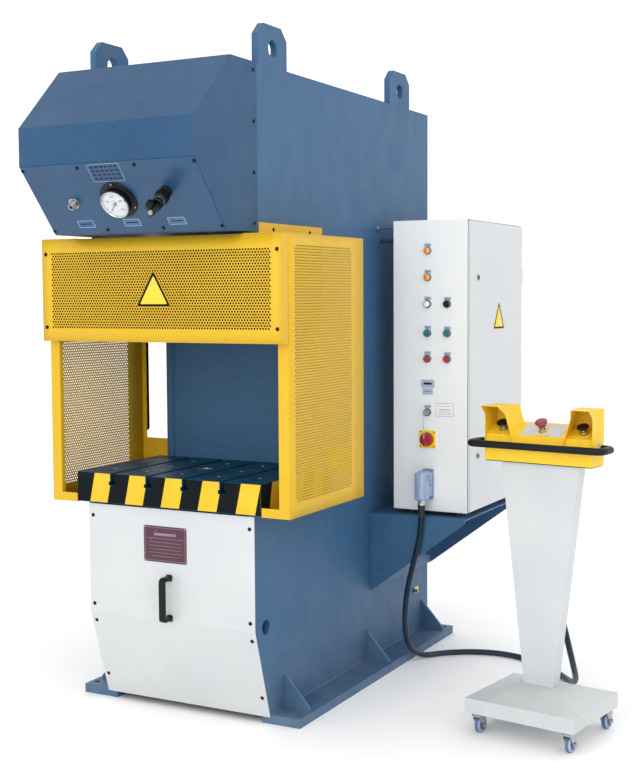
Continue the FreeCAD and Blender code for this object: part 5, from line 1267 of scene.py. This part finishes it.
rubber_black = finish("rubber_black", (8, 18, 22), (4, 12, 16), 0.42, mottle=30, grain=520, relief=0.05,
                      spread=0.08, shine=0.25)
rail_side, rail_out, rail_z = 0.1958, 0.238, 0.962
rail_path = bend([(-rail_side, 0.012, rail_z), (-rail_out, 0.012, rail_z), (-rail_out, -0.078, rail_z),
                  (rail_out, -0.078, rail_z), (rail_out, 0.012, rail_z), (rail_side, 0.012, rail_z)],
                 0.026, 10)
rail_points, rail_faces = swept(rail_path, (0, 0, 1), circle(0.012, 20))
rail_parts = [(carried(rail_points, console_place), rail_faces)]
for side in (-1, 1):
    cup = [(0.01, 0), (0.0155, 0), (0.0155, 0.003), (0.014, 0.005), (0.0124, 0.0055), (0.01, 0.0055),
           (0.01, 0)]
    spot = console_place @ at(side * 0.1945, 0.012, rail_z) @ spun(side * quarter, "Y")
    rail_parts.append((*turned(cup, spot, 32), zinc))
piece("hand_rail", rail_parts, rubber_black, "rail_black", replaces="console_rail")

deck_rise, deck_run, deck_low, deck_near = 0.04, 0.075, 0.992, -0.033
deck_tilt = math.atan2(deck_rise, deck_run)


def on_deck(x, y, lift=0.0):
    """Frame on the sloping deck: x across, y up the slope, lift square off it."""
    z = deck_low + (y - deck_near) * deck_rise / deck_run
    return console_place @ at(x, y, z) @ spun(deck_tilt, "X") @ at(0, 0, lift)


deck_film = finish("deck_film", (196, 196, 206), (186, 187, 198), 0.4, metallic=0.2, mottle=30, relief=0.01)
stop_y, palm_x = -0.002, 0.145
film_shape = rounded(0.146, 0.07, 0.006) + (0, 0.005)
film_hole = np.roll(circle(0.0118, len(film_shape)), -2, 0)
deck_parts = [(*border(film_shape, film_hole, 0.0001, 0.0006, on_deck(0, stop_y), under=True), deck_film)]
yellow_ring = [(0.019, 0.0005), (0.0272, 0.0005), (0.0272, 0.001), (0.0262, 0.0014), (0.019, 0.0014),
               (0.019, 0.0005)]
deck_parts.append((*turned(yellow_ring, on_deck(0, stop_y), 48), isolator_yellow))
collar = [(0.0113, 0.0003), (0.0152, 0.0003), (0.0152, 0.0026), (0.0124, 0.0034), (0.012, 0.0108),
          (0.009, 0.0112), (0.009, 0.0104), (0.0113, 0.0103), (0.0113, 0.0003)]
for x in (-palm_x, 0, palm_x):
    deck_parts.append((*turned(collar, on_deck(x, stop_y), 40), chrome))
piece("console_deck_fittings", deck_parts, plate_silver, "white_plastic")

stop_cap = [(0, 0.0172), (0.0112, 0.0172), (0.013, 0.0186), (0.014, 0.023), (0.0168, 0.0285),
            (0.0198, 0.0312), (0.021, 0.0338), (0.0207, 0.0368), (0.019, 0.0388), (0.015, 0.0402),
            (0.009, 0.0408), (0, 0.041)]
stop_red = finish("stop_red", (134, 30, 48), (122, 24, 40), 0.3, mottle=20, grain=900, relief=0.01, coat=0.3)
piece("emergency_cap", [turned(stop_cap, on_deck(0, stop_y), 56),
                        (*pin(0.0078, 0.0118, 0.0174, on_deck(0, stop_y), 32), chrome)],
      stop_red, "red_plastic", body="emergency", replaces="emergency_button")
palm_cap = [(0, 0.0168), (0.0108, 0.0168), (0.0124, 0.0178), (0.0142, 0.0206), (0.0178, 0.0224),
            (0.0198, 0.0242), (0.02, 0.0262), (0.019, 0.028), (0.015, 0.0293), (0.009, 0.0298),
            (0, 0.03)]
for side, name in ((-1, "left"), (1, "right")):
    spot = on_deck(side * palm_x, stop_y)
    piece(f"palm_{name}_cap", [turned(palm_cap, spot, 48), (*pin(0.0078, 0.0118, 0.017, spot, 32), chrome)],
          gauge_black, "black_plastic", body=f"palm_{name}", replaces=f"palm_button_{name}")

seam_place = console_place @ facing("front", 0, -0.0331, 0.9556)
piece("console_seam", [slab(rounded(0.382, 0.0034, 0.001, 3), 0, 0.0012, seam_place)], rubber_black,
      "black_plastic")
foot_nuts = []
for x in (-0.168, 0.168):
    spot = console_place @ at(x, -0.02, 0.9062) @ down
    foot_nuts.append(slab(hexagon * 0.0052, 0, 0.006, spot))
piece("console_screws", foot_nuts, black_oxide, "zinc_screws")

# ---------------------------------------------------------------- castors
# Four swivel castors: a pressed zinc fork under a ball race, and a grey rubber tread on a moulded
# hub that turns on a nutted axle.

tread_grey = finish("tread_grey", (150, 168, 200), (138, 156, 190), 0.6, mottle=40, grain=500, relief=0.05,
                    spread=0.08)
hub_pale = finish("hub_pale", (92, 106, 128), (80, 94, 116), 0.42, mottle=40, grain=700)
wheel_profile = [(0.0043, -0.0115), (0.0088, -0.0115), (0.009, -0.0098), (0.018, -0.0086),
                 (0.019, -0.01), (0.024, -0.01), (0.027, -0.0085), (0.028, -0.005),
                 (0.028, 0.005), (0.027, 0.0085), (0.024, 0.01), (0.019, 0.01),
                 (0.018, 0.0086), (0.009, 0.0098), (0.0088, 0.0115), (0.0043, 0.0115), (0.0043, -0.0115)]
tread_profile = [(0.0192, -0.01005), (0.024, -0.01005), (0.02705, -0.0085), (0.028, -0.005),
                 (0.028, 0.005), (0.02705, 0.0085), (0.024, 0.01005), (0.0192, 0.01005),
                 (0.0192, -0.01005)]
for name, u, v in (("front_left", -1, -1), ("front_right", 1, -1), ("rear_left", -1, 1),
                   ("rear_right", 1, 1)):
    swivel = console_place @ at(u * 0.163, v * 0.14, 0)
    axle = swivel @ at(0, 0.018, 0.028) @ across_x
    piece(f"wheel_{name}_tyre", [(*turned(wheel_profile, axle, 40), hub_pale),
                                 (*turned(tread_profile, axle, 40), tread_grey)],
          tread_grey, "wheel_grey", body=f"wheel_{name}", replaces=f"castor_wheel_{name}")
    eased(f"castor_fork_{name}", zinc, "zinc_screws", 0.0006, body=f"fork_{name}")
    race_profile = [(0.0065, 0.0605), (0.018, 0.0605), (0.0195, 0.0625), (0.0195, 0.066), (0.018, 0.068),
                    (0.0185, 0.069), (0.0185, 0.0742), (0.0065, 0.0742), (0.0065, 0.0605)]
    nut_side = [(*slab(hexagon * 0.0068, low, high, axle), zinc) for low, high in
                ((-0.0215, -0.0152), (0.0152, 0.0215))]
    piece(f"fork_{name}_race", [turned(race_profile, swivel, 36), *nut_side], zinc, "zinc_screws",
          body=f"fork_{name}")
